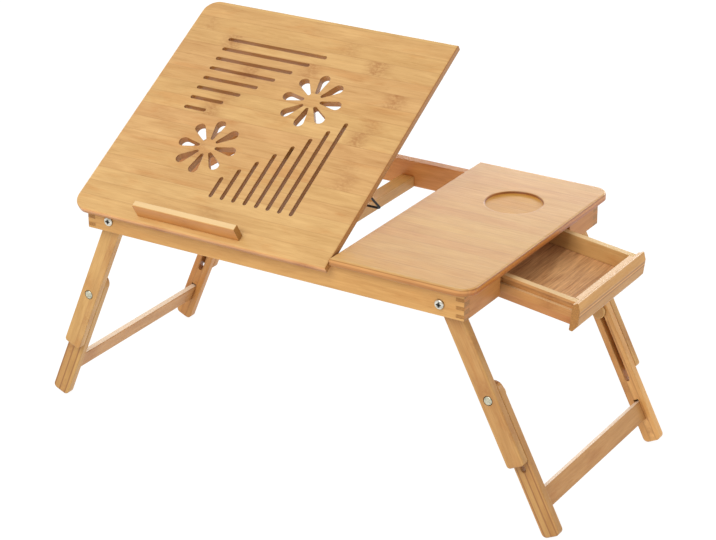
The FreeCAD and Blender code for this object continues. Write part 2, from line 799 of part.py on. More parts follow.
def ledgeScrews():
    screws = []
    for index, x in enumerate(ledgeScrewPlaces()):
        label = f"ledge_screw_{index}"
        body = newBody(label)
        profile = newSketch(body, label + "_profile", "Y", "0")
        drawOutline(profile, [("0", "0"), ("ledge_head_radius", "0"),
                              ("ledge_screw_radius", "ledge_head_height"),
                              ("ledge_screw_radius", "ledge_screw_length"),
                              ("0", "ledge_screw_length")])
        turned(body, profile, label + "_turned")
        placeOnPanel(body, x, ledgeMiddle, panelUnder)
        screws.append(body)
    return group("ledge_screws", screws)


def hingeEye(body, name, low, thickness, stemLow, stemHigh, halfDepth):
    """Round eye about the pin with a straight stem, square to the pin."""
    eye = newSketch(body, name + "_eye", "X", low)
    drawCircle(eye, "0", "0", "hinge_eye_radius")
    pad(body, eye, name + "_ring", thickness)
    stem = newSketch(body, name + "_stem", "X", low)
    drawBox(stem, f"0 - {halfDepth}", stemLow, halfDepth, stemHigh)
    pad(body, stem, name + "_web", thickness)


def hingeRailLeaves():
    """Seats in the front rail's mortises, each with two ears for the pin."""
    leaves = []
    for index, middle in enumerate(hingeMiddles):
        leaf = newBody(f"hinge_rail_leaf_{index}")
        seat = newSketch(leaf, f"rail_seat_{index}", "Z", mortiseFloor)
        half = "(hinge_mortise_length / 2 - hinge_side_gap)"
        drawBox(seat, f"0 - {half}", "hinge_side_gap - hinge_inset", half,
                "rail_thickness - hinge_inset - hinge_side_gap")
        pad(leaf, seat, f"rail_plate_{index}", "hinge_sheet")
        for side, low in (("right", earLow), ("left", f"0 - {earLow} - hinge_ear_thickness")):
            hingeEye(leaf, f"ear_{index}_{side}", low, "hinge_ear_thickness",
                     mortiseFloor, "0", "hinge_eye_radius")
        bore = newSketch(leaf, f"rail_leaf_bore_{index}", "X", f"0 - {half}")
        drawCircle(bore, "0", "0", "hinge_pin_radius")
        pocket(leaf, bore, f"rail_leaf_bore_cut_{index}", f"2 * {half}")
        holes = newSketch(leaf, f"rail_leaf_holes_{index}", "Z", mortiseFloor)
        for sign in "-+":
            drawCircle(holes, f"0 {sign} hinge_rail_screw_spread",
                       "rail_thickness / 2 - hinge_inset", "small_screw_radius + running_clearance")
        pocket(leaf, holes, f"rail_leaf_hole_cut_{index}", "hinge_sheet")
        place(leaf, middle, hingeY, hingeZ)
        leaves.append(leaf)
    return group("hinge_rail_leaves", leaves)


def hingePanelLeaves():
    """Plates under the tilting panel, each with a lug that turns on the pin."""
    leaves = []
    leafLow = f"({panelUnder} - hinge_sheet)"
    for index, middle in enumerate(hingeMiddles):
        leaf = newBody(f"hinge_panel_leaf_{index}")
        hingeEye(leaf, f"lug_{index}", "0 - hinge_lug_width / 2", "hinge_lug_width",
                 "0", panelUnder, "hinge_lug_half_depth")
        neck = newSketch(leaf, f"leaf_neck_{index}", "Z", leafLow)
        drawBox(neck, "0 - hinge_lug_width / 2", "0", "hinge_lug_width / 2", "hinge_leaf_start")
        pad(leaf, neck, f"leaf_neck_pad_{index}", "hinge_sheet")
        plate = newSketch(leaf, f"leaf_plate_{index}", "Z", leafLow)
        half = "(hinge_leaf_length / 2)"
        drawBox(plate, f"0 - {half}", "hinge_leaf_start", half,
                "hinge_leaf_start + hinge_leaf_depth")
        pad(leaf, plate, f"leaf_plate_pad_{index}", "hinge_sheet")
        bore = newSketch(leaf, f"lug_bore_{index}", "X", "0 - hinge_lug_width / 2")
        drawCircle(bore, "0", "0", "hinge_pin_radius + running_clearance")
        pocket(leaf, bore, f"lug_bore_cut_{index}", "hinge_lug_width")
        holes = newSketch(leaf, f"panel_leaf_holes_{index}", "Z", leafLow)
        for sign in "-+":
            drawCircle(holes, f"0 {sign} hinge_screw_spread", leafScrewY,
                       "small_screw_radius + running_clearance")
        pocket(leaf, holes, f"panel_leaf_hole_cut_{index}", "hinge_sheet")
        placeOnPanel(leaf, middle, "0", "0")
        leaves.append(leaf)
    return group("hinge_panel_leaves", leaves)


def hingePins():
    pins = []
    length = f"(2 * ({earLow} + hinge_ear_thickness) + 2 * hinge_side_gap)"
    for index, middle in enumerate(hingeMiddles):
        pin = newBody(f"hinge_pin_{index}")
        circle = newSketch(pin, f"hinge_pin_circle_{index}", "X", f"0 - {length} / 2")
        drawCircle(circle, "0", "0", "hinge_pin_radius")
        pad(pin, circle, f"hinge_pin_length_{index}", length)
        place(pin, middle, hingeY, hingeZ)
        pins.append(pin)
    return group("hinge_pins", pins)


def hingeScrews():
    """Small screws of both leaves of each hinge."""
    recess = ("small_recess_size", "small_recess_width", "small_recess_depth")
    sheetAndWood = "(small_screw_length + hinge_sheet)"
    railScrews = []
    panelScrews = []
    for index, middle in enumerate(hingeMiddles):
        for sign, side in (("-", "left"), ("+", "right")):
            body = screw(f"rail_leaf_screw_{index}_{side}", "small_screw_radius", sheetAndWood,
                         "small_head_radius", "small_head_height", recess)
            place(body, f"{middle} {sign} hinge_rail_screw_spread", hingeScrewY,
                  f"{hingeZ} + {mortiseFloor} + hinge_sheet")
            railScrews.append(body)
            body = screw(f"panel_leaf_screw_{index}_{side}", "small_screw_radius", sheetAndWood,
                         "small_head_radius", "small_head_height", recess)
            placeOnPanel(body, f"{middle} {sign} hinge_screw_spread", leafScrewY,
                         f"{panelUnder} - hinge_sheet", "180")
            panelScrews.append(body)
    return group("hinge_rail_screws", railScrews), group("hinge_panel_screws", panelScrews)


def stapleMiddles():
    """Middles of the two clips that hold the wire prop's turned-in ends."""
    reach = "(prop_width / 2 + prop_end_length / 2 + wire_radius)"
    return [f"(bar_offset - {reach})", f"(bar_offset + {reach})"]


def propStaples():
    """Clips under the tilting panel, each a rounded loop on a flat foot."""
    clips = []
    ring = "(wire_radius + running_clearance + staple_wall)"
    for index, middle in enumerate(stapleMiddles()):
        clip = newBody(f"prop_staple_{index}")
        loop = newSketch(clip, f"staple_loop_{index}", "X", "0 - staple_width / 2")
        drawCircle(loop, "0", "0", ring)
        pad(clip, loop, f"staple_ring_{index}", "staple_width")
        stem = newSketch(clip, f"staple_stem_{index}", "X", "0 - staple_width / 2")
        drawBox(stem, f"0 - {ring}", "0", ring, "prop_drop")
        pad(clip, stem, f"staple_web_{index}", "staple_width")
        foot = newSketch(clip, f"staple_foot_{index}", "X", "0 - staple_width / 2")
        drawBox(foot, f"0 - {ring} - staple_foot", "prop_drop - staple_sheet",
                f"{ring} + staple_foot", "prop_drop")
        pad(clip, foot, f"staple_plate_{index}", "staple_width")
        bore = newSketch(clip, f"staple_bore_{index}", "X", "0 - staple_width / 2")
        drawCircle(bore, "0", "0", "wire_radius + running_clearance")
        pocket(clip, bore, f"staple_bore_cut_{index}", "staple_width")
        placeOnPanel(clip, middle, propY, propZ)
        clips.append(clip)
    return group("prop_staples", clips)


def wireProp():
    """Bail of bent wire: two legs joined by a foot, with ends turned outwards."""
    prop = newBody("wire_prop")
    path = newSketch(prop, "prop_path", "Y", "0")
    half = "(prop_width / 2)"
    corners = [(f"0 - {half} - prop_end_length", "0"), (f"0 - {half}", "0"),
               (f"0 - {half}", "0 - prop_length"), (half, "0 - prop_length"),
               (half, "0"), (f"{half} + prop_end_length", "0")]
    places = [point(x, y, "0") for x, y in corners]
    bend = number("prop_bend_radius")
    lines = []
    for index in range(len(places) - 1):
        heading = (places[index + 1] - places[index]).normalize()
        start = places[index] + heading * (bend if index else 0)
        end = places[index + 1] - heading * (bend if index < len(places) - 2 else 0)
        lines.append(drawLine(path, start, end))
    for index in range(1, len(places) - 1):
        before = (places[index] - places[index - 1]).normalize()
        after = (places[index + 1] - places[index]).normalize()
        centre = places[index] - before * bend + after * bend
        middle = centre + (before - after).normalize() * bend
        arc = path.addGeometry(Part.Arc(places[index] - before * bend, middle,
                                        places[index] + after * bend), False)
        tieBend(path, arc, lines[index - 1], lines[index], before.cross(after).z > 0)
    tieRun(path, lines, corners)
    circle = newSketch(prop, "prop_wire_section", "X", corners[0][0])
    drawCircle(circle, "0", "0", "wire_radius")
    pipe = prop.newObject("PartDesign::AdditivePipe", "prop_wire")
    pipe.Profile = circle
    pipe.Spine = (path, [f"Edge{index + 1}" for index in range(len(path.Geometry))])
    doc.recompute()
    place(prop, "bar_offset", propRestY, propRestZ, (1, 0, 0), "90 - prop_angle")
    return prop


def drawLine(sketch, start, end):
    return sketch.addGeometry(Part.LineSegment(start, end), False)


def tieBend(sketch, arc, before, after, leftTurn):
    """Joins a bend to its two straight runs; an arc always runs anticlockwise."""
    first, last = (1, 2) if leftTurn else (2, 1)
    sketch.addConstraint([
        Sketcher.Constraint("Tangent", before, 2, arc, first),
        Sketcher.Constraint("Tangent", after, 1, arc, last),
    ])
    fixRadius(sketch, arc, "prop_bend_radius")


def tieRun(sketch, lines, corners):
    """Holds the first point and the line of every straight run."""
    fixPoint(sketch, lines[0], 1, *corners[0])
    for index, line in enumerate(lines):
        level = index % 2 == 0
        kind = "Horizontal" if level else "Vertical"
        sketch.addConstraint(Sketcher.Constraint(kind, line))
        if index == 0:
            continue
        name = "DistanceY" if level else "DistanceX"
        spot = corners[index][1] if level else corners[index][0]
        tie = sketch.addConstraint(Sketcher.Constraint(name, -1, 1, line, 1, number(spot)))
        sketch.setExpression(f"Constraints[{tie}]", sized(spot))
    tie = Sketcher.Constraint("DistanceX", -1, 1, lines[-1], 2, number(corners[-1][0]))
    index = sketch.addConstraint(tie)
    sketch.setExpression(f"Constraints[{index}]", sized(corners[-1][0]))


def ends(outer, inner):
    """Low side of a leg's thickness at the front and at the back."""
    return (("front", f"0 - {outer}"), ("back", inner))


def headFace(end):
    """Floor of the clamp head's recess in the outer face of an upper leg."""
    if end == "front":
        return f"(0 - {upperOutY} + clamp_head_sink)"
    return f"({upperOutY} - clamp_head_sink)"


def upperLeg(side, end, low):
    """Leg that turns on the pivot bolt, drawn upright from the pivot."""
    label = f"{side}_upper_leg_{end}"
    leg = newBody(label)
    half = "(leg_width / 2)"
    stem = newSketch(leg, label + "_stem", "Y", low)
    drawBox(stem, f"0 - {half}", "0 - upper_leg_length", half, "0")
    pad(leg, stem, label + "_length", "upper_leg_thickness")
    middle = f"{low} + upper_leg_thickness / 2"
    corners = [(f"0 - {half}", middle, "0 - upper_leg_length"),
               (half, middle, "0 - upper_leg_length")]
    roundEdges(leg, label + "_corners", "upper_leg_corner_radius", edgesNear(leg, corners))
    eye = newSketch(leg, label + "_eye", "Y", low)
    drawCircle(eye, "0", "0", half)
    pad(leg, eye, label + "_top", "upper_leg_thickness")
    for name, face in (("low", low), ("high", f"{low} + upper_leg_thickness")):
        roundEdges(leg, f"{label}_{name}", "leg_edge_radius", edgesAcross(leg, "Y", face))
    holes = newSketch(leg, label + "_holes", "Y", low)
    drawCircle(holes, "0", "0", holeRadius)
    drawCircle(holes, "0", "0 - clamp_place", holeRadius)
    pocket(leg, holes, label + "_bores", "upper_leg_thickness")
    sink = newSketch(leg, label + "_sink", "Y", low if end == "front" else headFace(end))
    drawCircle(sink, "0", "0 - clamp_place", "clamp_head_radius + head_clearance")
    pocket(leg, sink, label + "_head_recess", "clamp_head_sink")
    placeOnLeg(leg, side)
    return leg


def lowerLeg(side, end, low):
    """Leg that slides beside the upper leg, from its round top to its foot."""
    label = f"{side}_lower_leg_{end}"
    leg = newBody(label)
    half = "(leg_width / 2)"
    top = f"({footPlace(side)} - lower_leg_length)"
    foot = f"0 - {footPlace(side)}"
    stem = newSketch(leg, label + "_stem", "Y", low)
    eyeLevel = f"0 - {top} - {half}"
    drawBox(stem, f"0 - {half}", foot, half, eyeLevel)
    pad(leg, stem, label + "_length", "lower_leg_thickness")
    middle = f"{low} + lower_leg_thickness / 2"
    corners = [(f"0 - {half}", middle, foot), (half, middle, foot)]
    roundEdges(leg, label + "_corners", "foot_radius", edgesNear(leg, corners))
    eye = newSketch(leg, label + "_eye", "Y", low)
    drawCircle(eye, "0", eyeLevel, half)
    pad(leg, eye, label + "_top", "lower_leg_thickness")
    for name, face in (("low", low), ("high", f"{low} + lower_leg_thickness")):
        roundEdges(leg, f"{label}_{name}", "leg_edge_radius", edgesAcross(leg, "Y", face))
    slot = newSketch(leg, label + "_slot", "Y", low)
    slotTop = f"0 - {top} - leg_slot_start"
    drawRoundSlot(slot, ("0", f"{slotTop} - leg_slot_travel"), ("0", slotTop),
                  "leg_slot_width / 2", "leg_slot_width / 2")
    pocket(leg, slot, label + "_slot_cut", "lower_leg_thickness")
    inner = f"{low} + lower_leg_thickness - tenon_depth" if end == "front" else low
    mortise = newSketch(leg, label + "_mortise", "Y", inner)
    base = f"(0 - {footPlace(side)} + stretcher_rise)"
    drawBox(mortise, "0 - stretcher_thickness / 2", base, "stretcher_thickness / 2",
            f"{base} + stretcher_height + mortise_slack")
    pocket(leg, mortise, label + "_mortise_cut", "tenon_depth")
    placeOnLeg(leg, side)
    return leg


def stretcher(side):
    """Cross bar between the two lower legs of a side, let into both."""
    label = f"{side}_stretcher"
    bar = newBody(label)
    reach = f"({lowerInY} + tenon_depth)"
    section = newSketch(bar, label + "_section", "Y", f"0 - {reach}")
    base = f"(0 - {footPlace(side)} + stretcher_rise)"
    half = "(stretcher_thickness / 2)"
    crown = f"{base} + stretcher_height"
    drawBox(section, f"0 - {half}", base, half, crown)
    pad(bar, section, label + "_length", f"2 * {reach}")
    edges = [(x, "0", z) for x in (f"0 - {half}", half) for z in (base, crown)]
    roundEdges(bar, label + "_soft", "edge_radius", edgesNear(bar, edges))
    placeOnLeg(bar, side)
    return bar


def clampBolts(side):
    """Bolts that hold the lower legs of a side at the chosen length."""
    bolts = []
    length = (f"({upperOutY} - clamp_head_sink - {knobOutY} + knob_bore_depth - bolt_end_gap)")
    for end, sign in (("front", "-1"), ("back", "1")):
        body = screw(f"{side}_clamp_bolt_{end}", "bolt_radius", length,
                     "clamp_head_radius", "clamp_head_height")
        placeOnLeg(body, side, "clamp_place")
        body.setExpression("Placement.Base.y", sized(headFace(end)))
        lay = FreeCAD.Rotation(FreeCAD.Vector(1, 0, 0), -90 * int(sign))
        body.Placement = FreeCAD.Placement(body.Placement.Base, lay)
        body.setExpression("Placement.Rotation.Angle", sized(f"0 - 90 * {sign}"))
        bolts.append(body)
    return group(f"{side}_clamp_bolts", bolts)


def knob(side, end):
    """Round knob screwed on a clamp bolt, with a blind bore."""
    label = f"{side}_knob_{end}"
    body = newBody(label)
    low = f"(0 - {knobOutY})" if end == "front" else f"({knobOutY} - knob_thickness)"
    disc = newSketch(body, label + "_disc", "Y", low)
    drawCircle(disc, "0", "0", "knob_radius")
    pad(body, disc, label + "_block", "knob_thickness")
    for name, face in (("low", low), ("high", f"{low} + knob_thickness")):
        roundEdges(body, f"{label}_{name}", "knob_edge_radius", edgesAcross(body, "Y", face))
    mouth = low if end == "front" else f"{low} + knob_thickness - knob_bore_depth"
    bore = newSketch(body, label + "_bore", "Y", mouth)
    drawCircle(bore, "0", "0", holeRadius)
    pocket(body, bore, label + "_bore_cut", "knob_bore_depth")
    placeOnLeg(body, side, "clamp_place")
    return body


def legs(side):
    """Everything that turns about one side's pivots."""
    parts = [upperLeg(side, end, low) for end, low in ends(upperOutY, upperInY)]
    parts.append(clampBolts(side))
    parts += [lowerLeg(side, end, low) for end, low in ends(lowerOutY, lowerInY)]
    parts.append(stretcher(side))
    parts += [knob(side, end) for end in ("front", "back")]
    return parts


def placeInDrawer(item):
    """Puts a piece drawn from the drawer's pins where the open drawer hangs."""
    place(item, drawerPinX, "drawer_offset", pinZ, (0, 1, 0), "rest_droop_angle")


def drawerSide(label, low, outer):
    side = newBody(label)
    profile = newSketch(side, label + "_profile", "Y", low)
    drawBox(profile, "0 - drawer_tail", drawerBase, drawerFrontX, drawerTop)
    pad(side, profile, label + "_thickness", "drawer_side_thickness")
    high = f"{low} + drawer_side_thickness"
    edges = [("0", low, drawerTop), ("0", high, drawerTop),
             ("0", low, drawerBase), ("0", high, drawerBase)]
    roundEdges(side, label + "_soft", "edge_radius", edgesNear(side, edges))
    frontSide = outer == "low"
    face = low if frontSide else f"{high} - drawer_groove_depth"
    groove = newSketch(side, label + "_groove", "Y", face)
    drawBox(groove, "0 - drawer_tail", "0 - drawer_groove_height / 2",
            drawerFrontX, "drawer_groove_height / 2")
    pocket(side, groove, label + "_groove_cut", "drawer_groove_depth")
    inner = f"{high} - drawer_bottom_groove" if frontSide else low
    rebate = newSketch(side, label + "_rebate", "Y", inner)
    drawBox(rebate, "0 - drawer_tail", bottomLow, drawerFrontX, bottomHigh)
    pocket(side, rebate, label + "_rebate_cut", "drawer_bottom_groove")
    seat = "(drawer_groove_depth + drawer_pin_seat)"
    socketLow = low if frontSide else f"{high} - {seat}"
    socket = newSketch(side, label + "_pin_socket", "Y", socketLow)
    drawCircle(socket, "0", "0", "drawer_pin_radius + running_clearance")
    pocket(side, socket, label + "_pin_bore", seat)
    placeInDrawer(side)
    return side


def drawerSides():
    front = drawerSide("drawer_side_front", f"(0 - {drawerOutY})", "low")
    back = drawerSide("drawer_side_back", drawerInY, "high")
    return front, back


def drawerPins():
    """Dowels that ride in the runners' grooves and carry the drawer."""
    pins = []
    for end, sign in (("front", "-1"), ("back", "1")):
        pin = newBody(f"drawer_pin_{end}")
        seated = f"({drawerOutY} - drawer_groove_depth - drawer_pin_seat + running_clearance)"
        length = f"({openingY} + drawer_pin_reach - {seated})"
        low = f"(0 - {seated} - {length})" if end == "front" else seated
        circle = newSketch(pin, f"drawer_pin_circle_{end}", "Y", low)
        drawCircle(circle, "0", "0", "drawer_pin_radius")
        pad(pin, circle, f"drawer_pin_length_{end}", length)
        place(pin, drawerPinX, "drawer_offset", pinZ)
        pins.append(pin)
    return group("drawer_pins", pins)


def drawerBack():
    back = newBody("drawer_back")
    profile = newSketch(back, "drawer_back_profile", "Y", f"0 - {drawerInY}")
    start = "(0 - drawer_tail)"
    drawBox(profile, start, bottomHigh, f"{start} + drawer_back_thickness", drawerTop)
    pad(back, profile, "drawer_back_width", f"2 * {drawerInY}")
    placeInDrawer(back)
    return back


def drawerBottom():
    """Thin board in the grooves of the sides and the front."""
    board = newBody("drawer_bottom")
    outline = newSketch(board, "drawer_bottom_outline", "Z", bottomLow)
    half = f"({drawerInY} + drawer_bottom_groove)"
    drawBox(outline, "0 - drawer_tail", f"0 - {half}", "drawer_reach", half)
    pad(board, outline, "drawer_bottom_board", "drawer_bottom_thickness")
    placeInDrawer(board)
    return board


def drawerFront():
    """Front with a raised brow, a finger lip and a tongue between the sides."""
    front = newBody("drawer_front")
    section = newSketch(front, "drawer_front_section", "Y", f"0 - {drawerFrontY}")
    face = f"({drawerFrontX} + drawer_front_thickness)"
    browTop = f"{drawerTop} + drawer_front_rise"
    drawOutline(section, [
        (drawerFrontX, f"{drawerBase} - drawer_lip_drop"),
        (drawerFrontX, drawerTop),
        (f"{drawerFrontX} + drawer_front_flat", drawerTop),
        (f"{face} - drawer_front_bevel", browTop),
        (face, f"{browTop} - drawer_front_bevel_drop"),
        (face, f"{drawerBase} + drawer_lip_shoulder - drawer_lip_drop"),
        (f"{face} - drawer_lip_setback", f"{drawerBase} - drawer_lip_drop"),
    ])
    pad(front, section, "drawer_front_width", f"2 * {drawerFrontY}")
    tips = [(f"{face} - drawer_front_bevel", "0", browTop),
            (f"{face} - drawer_lip_setback", "0", f"{drawerBase} - drawer_lip_drop"),
            (drawerFrontX, "0", f"{drawerBase} - drawer_lip_drop")]
    roundEdges(front, "drawer_front_tips", "drawer_peak_radius", edgesNear(front, tips))
    brow = (face, "0", f"{browTop} - drawer_front_bevel_drop")
    shoulder = (face, "0", f"{drawerBase} + drawer_lip_shoulder - drawer_lip_drop")
    roundEdges(front, "drawer_front_face", "drawer_face_radius", edgesNear(front, [brow, shoulder]))
    tongue = newSketch(front, "drawer_tongue", "Y", f"0 - {drawerInY}")
    drawBox(tongue, "drawer_reach", drawerBase, drawerFrontX, drawerTop)
    pad(front, tongue, "drawer_tongue_width", f"2 * {drawerInY}")
    placeInDrawer(front)
    return front


def build():
    """All sub-parts, each under the label that names it."""
    parts = [frontRail(), longRail("back_rail", railInY, False), leftEndRail()]
    parts += rightEndRails()
    parts.append(centreBar())
    parts += drawerRunners()
    parts += [drawerDivider(), fixedPanel(), hingeRailLeaves(), hingePins()]
    railScrews, panelScrews = hingeScrews()
    parts += [railScrews, pivotScrews(), pivotNuts()]
    parts += [tiltingPanel(), ledge(), ledgeScrews(), hingePanelLeaves(), panelScrews]
    parts += [propStaples(), wireProp()]
    for side in ("right", "left"):
        parts += legs(side)
    parts += drawerSides()
    parts += [drawerPins(), drawerBack(), drawerBottom(), drawerFront()]
    return parts


parts = build()
doc.recompute()
for item in doc.Objects:
    if "Invalid" in item.State or "Error" in item.State:
        raise ValueError(f"{item.Name} did not build: {item.State}")
for part in parts:
    if part.Shape.isNull() or not part.Shape.isValid():
        raise ValueError(f"{part.Label} has no valid shape")
for part in parts:
    part.Shape.exportStep(f"parts/{part.Label}.step")
    print(part.Label, len(part.Shape.Solids), round(part.Shape.Volume))
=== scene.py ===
import math
import bpy
from mathutils import Euler, Matrix, Vector

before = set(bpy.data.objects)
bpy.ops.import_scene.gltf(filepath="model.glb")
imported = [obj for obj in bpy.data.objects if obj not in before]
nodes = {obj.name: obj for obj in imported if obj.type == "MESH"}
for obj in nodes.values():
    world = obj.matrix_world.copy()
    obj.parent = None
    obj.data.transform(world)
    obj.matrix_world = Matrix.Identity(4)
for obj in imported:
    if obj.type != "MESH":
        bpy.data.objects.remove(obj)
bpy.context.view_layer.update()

print("frame loaded:", len(nodes), "nodes")

# angles at which the stand is set up, in degrees
pose = {"panelTilt": 30.7, "rightLean": 26.5, "leftLean": 23.3, "drawerDroop": 7.6}


# small helpers for building material nodes

def newTree(name):
    material = bpy.data.materials.new(name)
    material.use_nodes = True
    tree = material.node_tree
    shader = tree.nodes["Principled BSDF"]
    return material, tree, shader


def feed(tree, value, socket):  # plugs a socket in, or sets a plain number or colour
    if isinstance(value, bpy.types.NodeSocket):
        tree.links.new(value, socket)
    else:
        socket.default_value = value


def calc(tree, operation, first, second=0.0, clamp=False):
    node = tree.nodes.new("ShaderNodeMath")
    node.operation = operation
    node.use_clamp = clamp
    feed(tree, first, node.inputs[0])
    feed(tree, second, node.inputs[1])
    return node.outputs[0]


def times(tree, first, second):
    return calc(tree, "MULTIPLY", first, second)


def aroundHalf(tree, value):  # a pattern that runs from 0 to 1, moved to swing either side of 0
    return calc(tree, "SUBTRACT", value, 0.5)


def ramp(tree, value, low, high, lowOut=0.0, highOut=1.0):
    node = tree.nodes.new("ShaderNodeMapRange")
    node.interpolation_type = "SMOOTHSTEP"
    feed(tree, value, node.inputs["Value"])
    for key, number in (("From Min", low), ("From Max", high), ("To Min", lowOut), ("To Max", highOut)):
        feed(tree, number, node.inputs[key])
    return node.outputs["Result"]


def mixColour(tree, factor, first, second, blend="MIX"):
    node = tree.nodes.new("ShaderNodeMix")
    node.data_type = "RGBA"
    node.blend_type = blend
    feed(tree, factor, node.inputs["Factor"])
    feed(tree, first, node.inputs["A"])
    feed(tree, second, node.inputs["B"])
    return node.outputs["Result"]


def joinXyz(tree, x, y, z):
    node = tree.nodes.new("ShaderNodeCombineXYZ")
    for value, socket in zip((x, y, z), node.inputs):
        feed(tree, value, socket)
    return node.outputs[0]


def splitXyz(tree, vector):
    node = tree.nodes.new("ShaderNodeSeparateXYZ")
    feed(tree, vector, node.inputs[0])
    return node.outputs


def noise(tree, vector, scale, detail=3.0, roughness=0.5, distortion=0.0):
    node = tree.nodes.new("ShaderNodeTexNoise")
    feed(tree, vector, node.inputs["Vector"])
    node.inputs["Scale"].default_value = scale
    node.inputs["Detail"].default_value = detail
    node.inputs["Roughness"].default_value = roughness
    node.inputs["Distortion"].default_value = distortion
    return node.outputs["Fac"]


def randomOf(tree, vector):  # a steady random value and colour for each whole-number place
    node = tree.nodes.new("ShaderNodeTexWhiteNoise")
    node.noise_dimensions = "3D"
    feed(tree, vector, node.inputs["Vector"])
    return node.outputs


def stretched(tree, x, y, z, along, across, through):  # scaled along, across and through the board
    return joinXyz(tree, times(tree, x, along), times(tree, y, across), times(tree, z, through))


def distanceFrom(tree, offX, offY):
    return calc(tree, "SQRT", calc(tree, "ADD", times(tree, offX, offX), times(tree, offY, offY)))


def cornerShade(tree, distance):  # 1 in the open, towards 0 in a corner
    node = tree.nodes.new("ShaderNodeAmbientOcclusion")
    node.samples = 6
    node.inputs["Distance"].default_value = distance
    return node.outputs["AO"]


def bumpOf(tree, height, strength, distance):
    node = tree.nodes.new("ShaderNodeBump")
    node.inputs["Strength"].default_value = strength
    node.inputs["Distance"].default_value = distance
    tree.links.new(height, node.inputs["Height"])
    return node


def rgb(red, green, blue):
    return (red, green, blue, 1.0)


# bamboo: strips glued side by side, with fibres, cane joints and end grain; lengths are in metres

uncut = 0.5  # a strip size larger than any piece, for wood that isn't glued up that way
bamboo = {
    "pale": rgb(0.70, 0.425, 0.165),
    "deep": rgb(0.46, 0.235, 0.072),
    "joint": rgb(0.37, 0.150, 0.042),
    "glue": rgb(0.27, 0.105, 0.030),
    "end": rgb(0.44, 0.205, 0.050),
    "endDots": rgb(0.30, 0.130, 0.032),
    "endShow": 1.0,
    "stripWidth": 0.0215,
    "stripDepth": 0.012,
    "stripSpread": 0.30,
    "jointGap": 0.21,
    "jointWidth": 0.013,
    "jointShow": 0.72,
    "fibreShow": 0.58,
    "dashShow": 0.26,
    "streakShow": 0.66,
    "waver": 0.0045,
    "blushShow": 0.35,
    "blush": rgb(0.92, 0.76, 0.62),
    "grooveShow": 0.20,
    "grooveWidth": 0.0010,
    "balance": 0.36,
    "arris": 0.0011,
    # how pale the arrises are painted as a highlight, and the tint of the painted shade in corners
    "arrisHighlight": 0.25,
    "cornerShadeTint": rgb(0.60, 0.44, 0.30),
    # painted shade on upright sides
    "sideShadeTint": None,
    # a creamy tint painted as a sheen on faces that look up, and how strongly
    "topSheenTint": None,
    "topSheenShow": 0.8,
    "hollow": None,
    "layersAndShading": None,
    "layerPlace": None,
    "roughness": 0.44,
    "specular": 0.24,
    "coat": 0.11,
    "coatRoughness": 0.17,
    "bump": 0.22,
}
grainNoise = {  # scale along, across and through the board, then detail, roughness and distortion
    "wander": (5.0, 30.0, 30.0, 2.0, 0.5, 0.0),
    "swing": (11.0, 34.0, 34.0, 2.0, 0.5, 0.0),
    "hair": (30.0, 900.0, 900.0, 3.0, 0.7, 0.0),
    "fibre": (17.0, 330.0, 330.0, 3.0, 0.62, 0.5),
    "streak": (13.0, 64.0, 64.0, 3.0, 0.55, 0.8),
    "dash": (52.0, 600.0, 600.0, 2.0, 0.6, 0.0),
    "blush": (12.0, 42.0, 42.0, 3.0, 0.6, 0.6),
    "jointBend": (45.0, 110.0, 110.0, 3.0, 0.6, 0.0),
    "jointSpeckle": (190.0, 330.0, 330.0, 3.0, 0.65, 0.0),
    "endDots": (30.0, 900.0, 900.0, 4.0, 0.7, 0.0),
}
grainEdge = {  # from where a mark begins to where it is full, on its own pattern or slope
    "dash": (0.60, 0.74),
    "blush": (0.50, 0.72),
    "jointSeen": (0.25, 0.75),
    "jointSpeckle": (0.20, 0.68),
    "endDots": (0.35, 0.65),
    "end": (0.72, 0.93),
    "upright": (0.85, 0.45),
    "skyward": (0.74, 0.86),
    "corner": (0.75, 0.12),
    "arrisHighlight": (0.985, 0.88),
}
grainShare = {  # how far each pattern counts beside the piece's own values
    "wander": 0.12,
    "strip": 0.035,
    "streak": 1.6,
    "fibre": 1.3,
    "shift": 3.0,
    "jointShift": 5.0,
    "jointChance": 17.3,
    "jointBend": 0.07,
    "jointBand": 1.9,
    "jointCore": 0.20,
    "jointDarkness": 0.14,
    "glossFibre": 0.22,
    "glossJoint": 0.12,
    "reliefFibre": 0.6,
    "reliefHair": 0.4,
    "reliefGlue": 0.5,
    "reliefJoint": 0.5,
}
frontBand = (0.0012, 0.0008)  # how near its front a board shows its front bands of layers, painted shade and painted highlight
cornerReach = 0.005
reliefDepth = 0.0006
arrisSamples = 4


def seedShift(seed):  # each piece is cut from another part of the plank
    return Vector((seed * 0.37, seed * 0.113, seed * 0.071))


def turnAngles(turn):
    return [math.radians(angle) for angle in turn]


def acrossPiece(name, turn, seed):  # where a node starts and ends along its material's z, and its front
    rotation = Euler(turnAngles(turn)).to_matrix()
    places = [rotation @ vertex.co + seedShift(seed) for vertex in nodes[name].data.vertices]
    return min(p.z for p in places), max(p.z for p in places), min(p.y for p in places)


def grainFrame(tree, turn, seed):  # object space turned so that x runs along the grain
    where = tree.nodes.new("ShaderNodeTexCoord")
    place = tree.nodes.new("ShaderNodeMapping")
    place.inputs["Rotation"].default_value = turnAngles(turn)
    place.inputs["Location"].default_value = seedShift(seed)
    tree.links.new(where.outputs["Object"], place.inputs["Vector"])
    facing = tree.nodes.new("ShaderNodeMapping")
    facing.vector_type = "NORMAL"
    facing.inputs["Rotation"].default_value = turnAngles(turn)
    tree.links.new(where.outputs["Normal"], facing.inputs["Vector"])
    return where.outputs, splitXyz(tree, place.outputs["Vector"]), splitXyz(tree, facing.outputs["Vector"])


def grain(tree, pattern, x, y, z):
    along, across, through, detail, roughness, distortion = grainNoise[pattern]
    return noise(tree, stretched(tree, x, y, z, along, across, through), 1.0, detail, roughness, distortion)


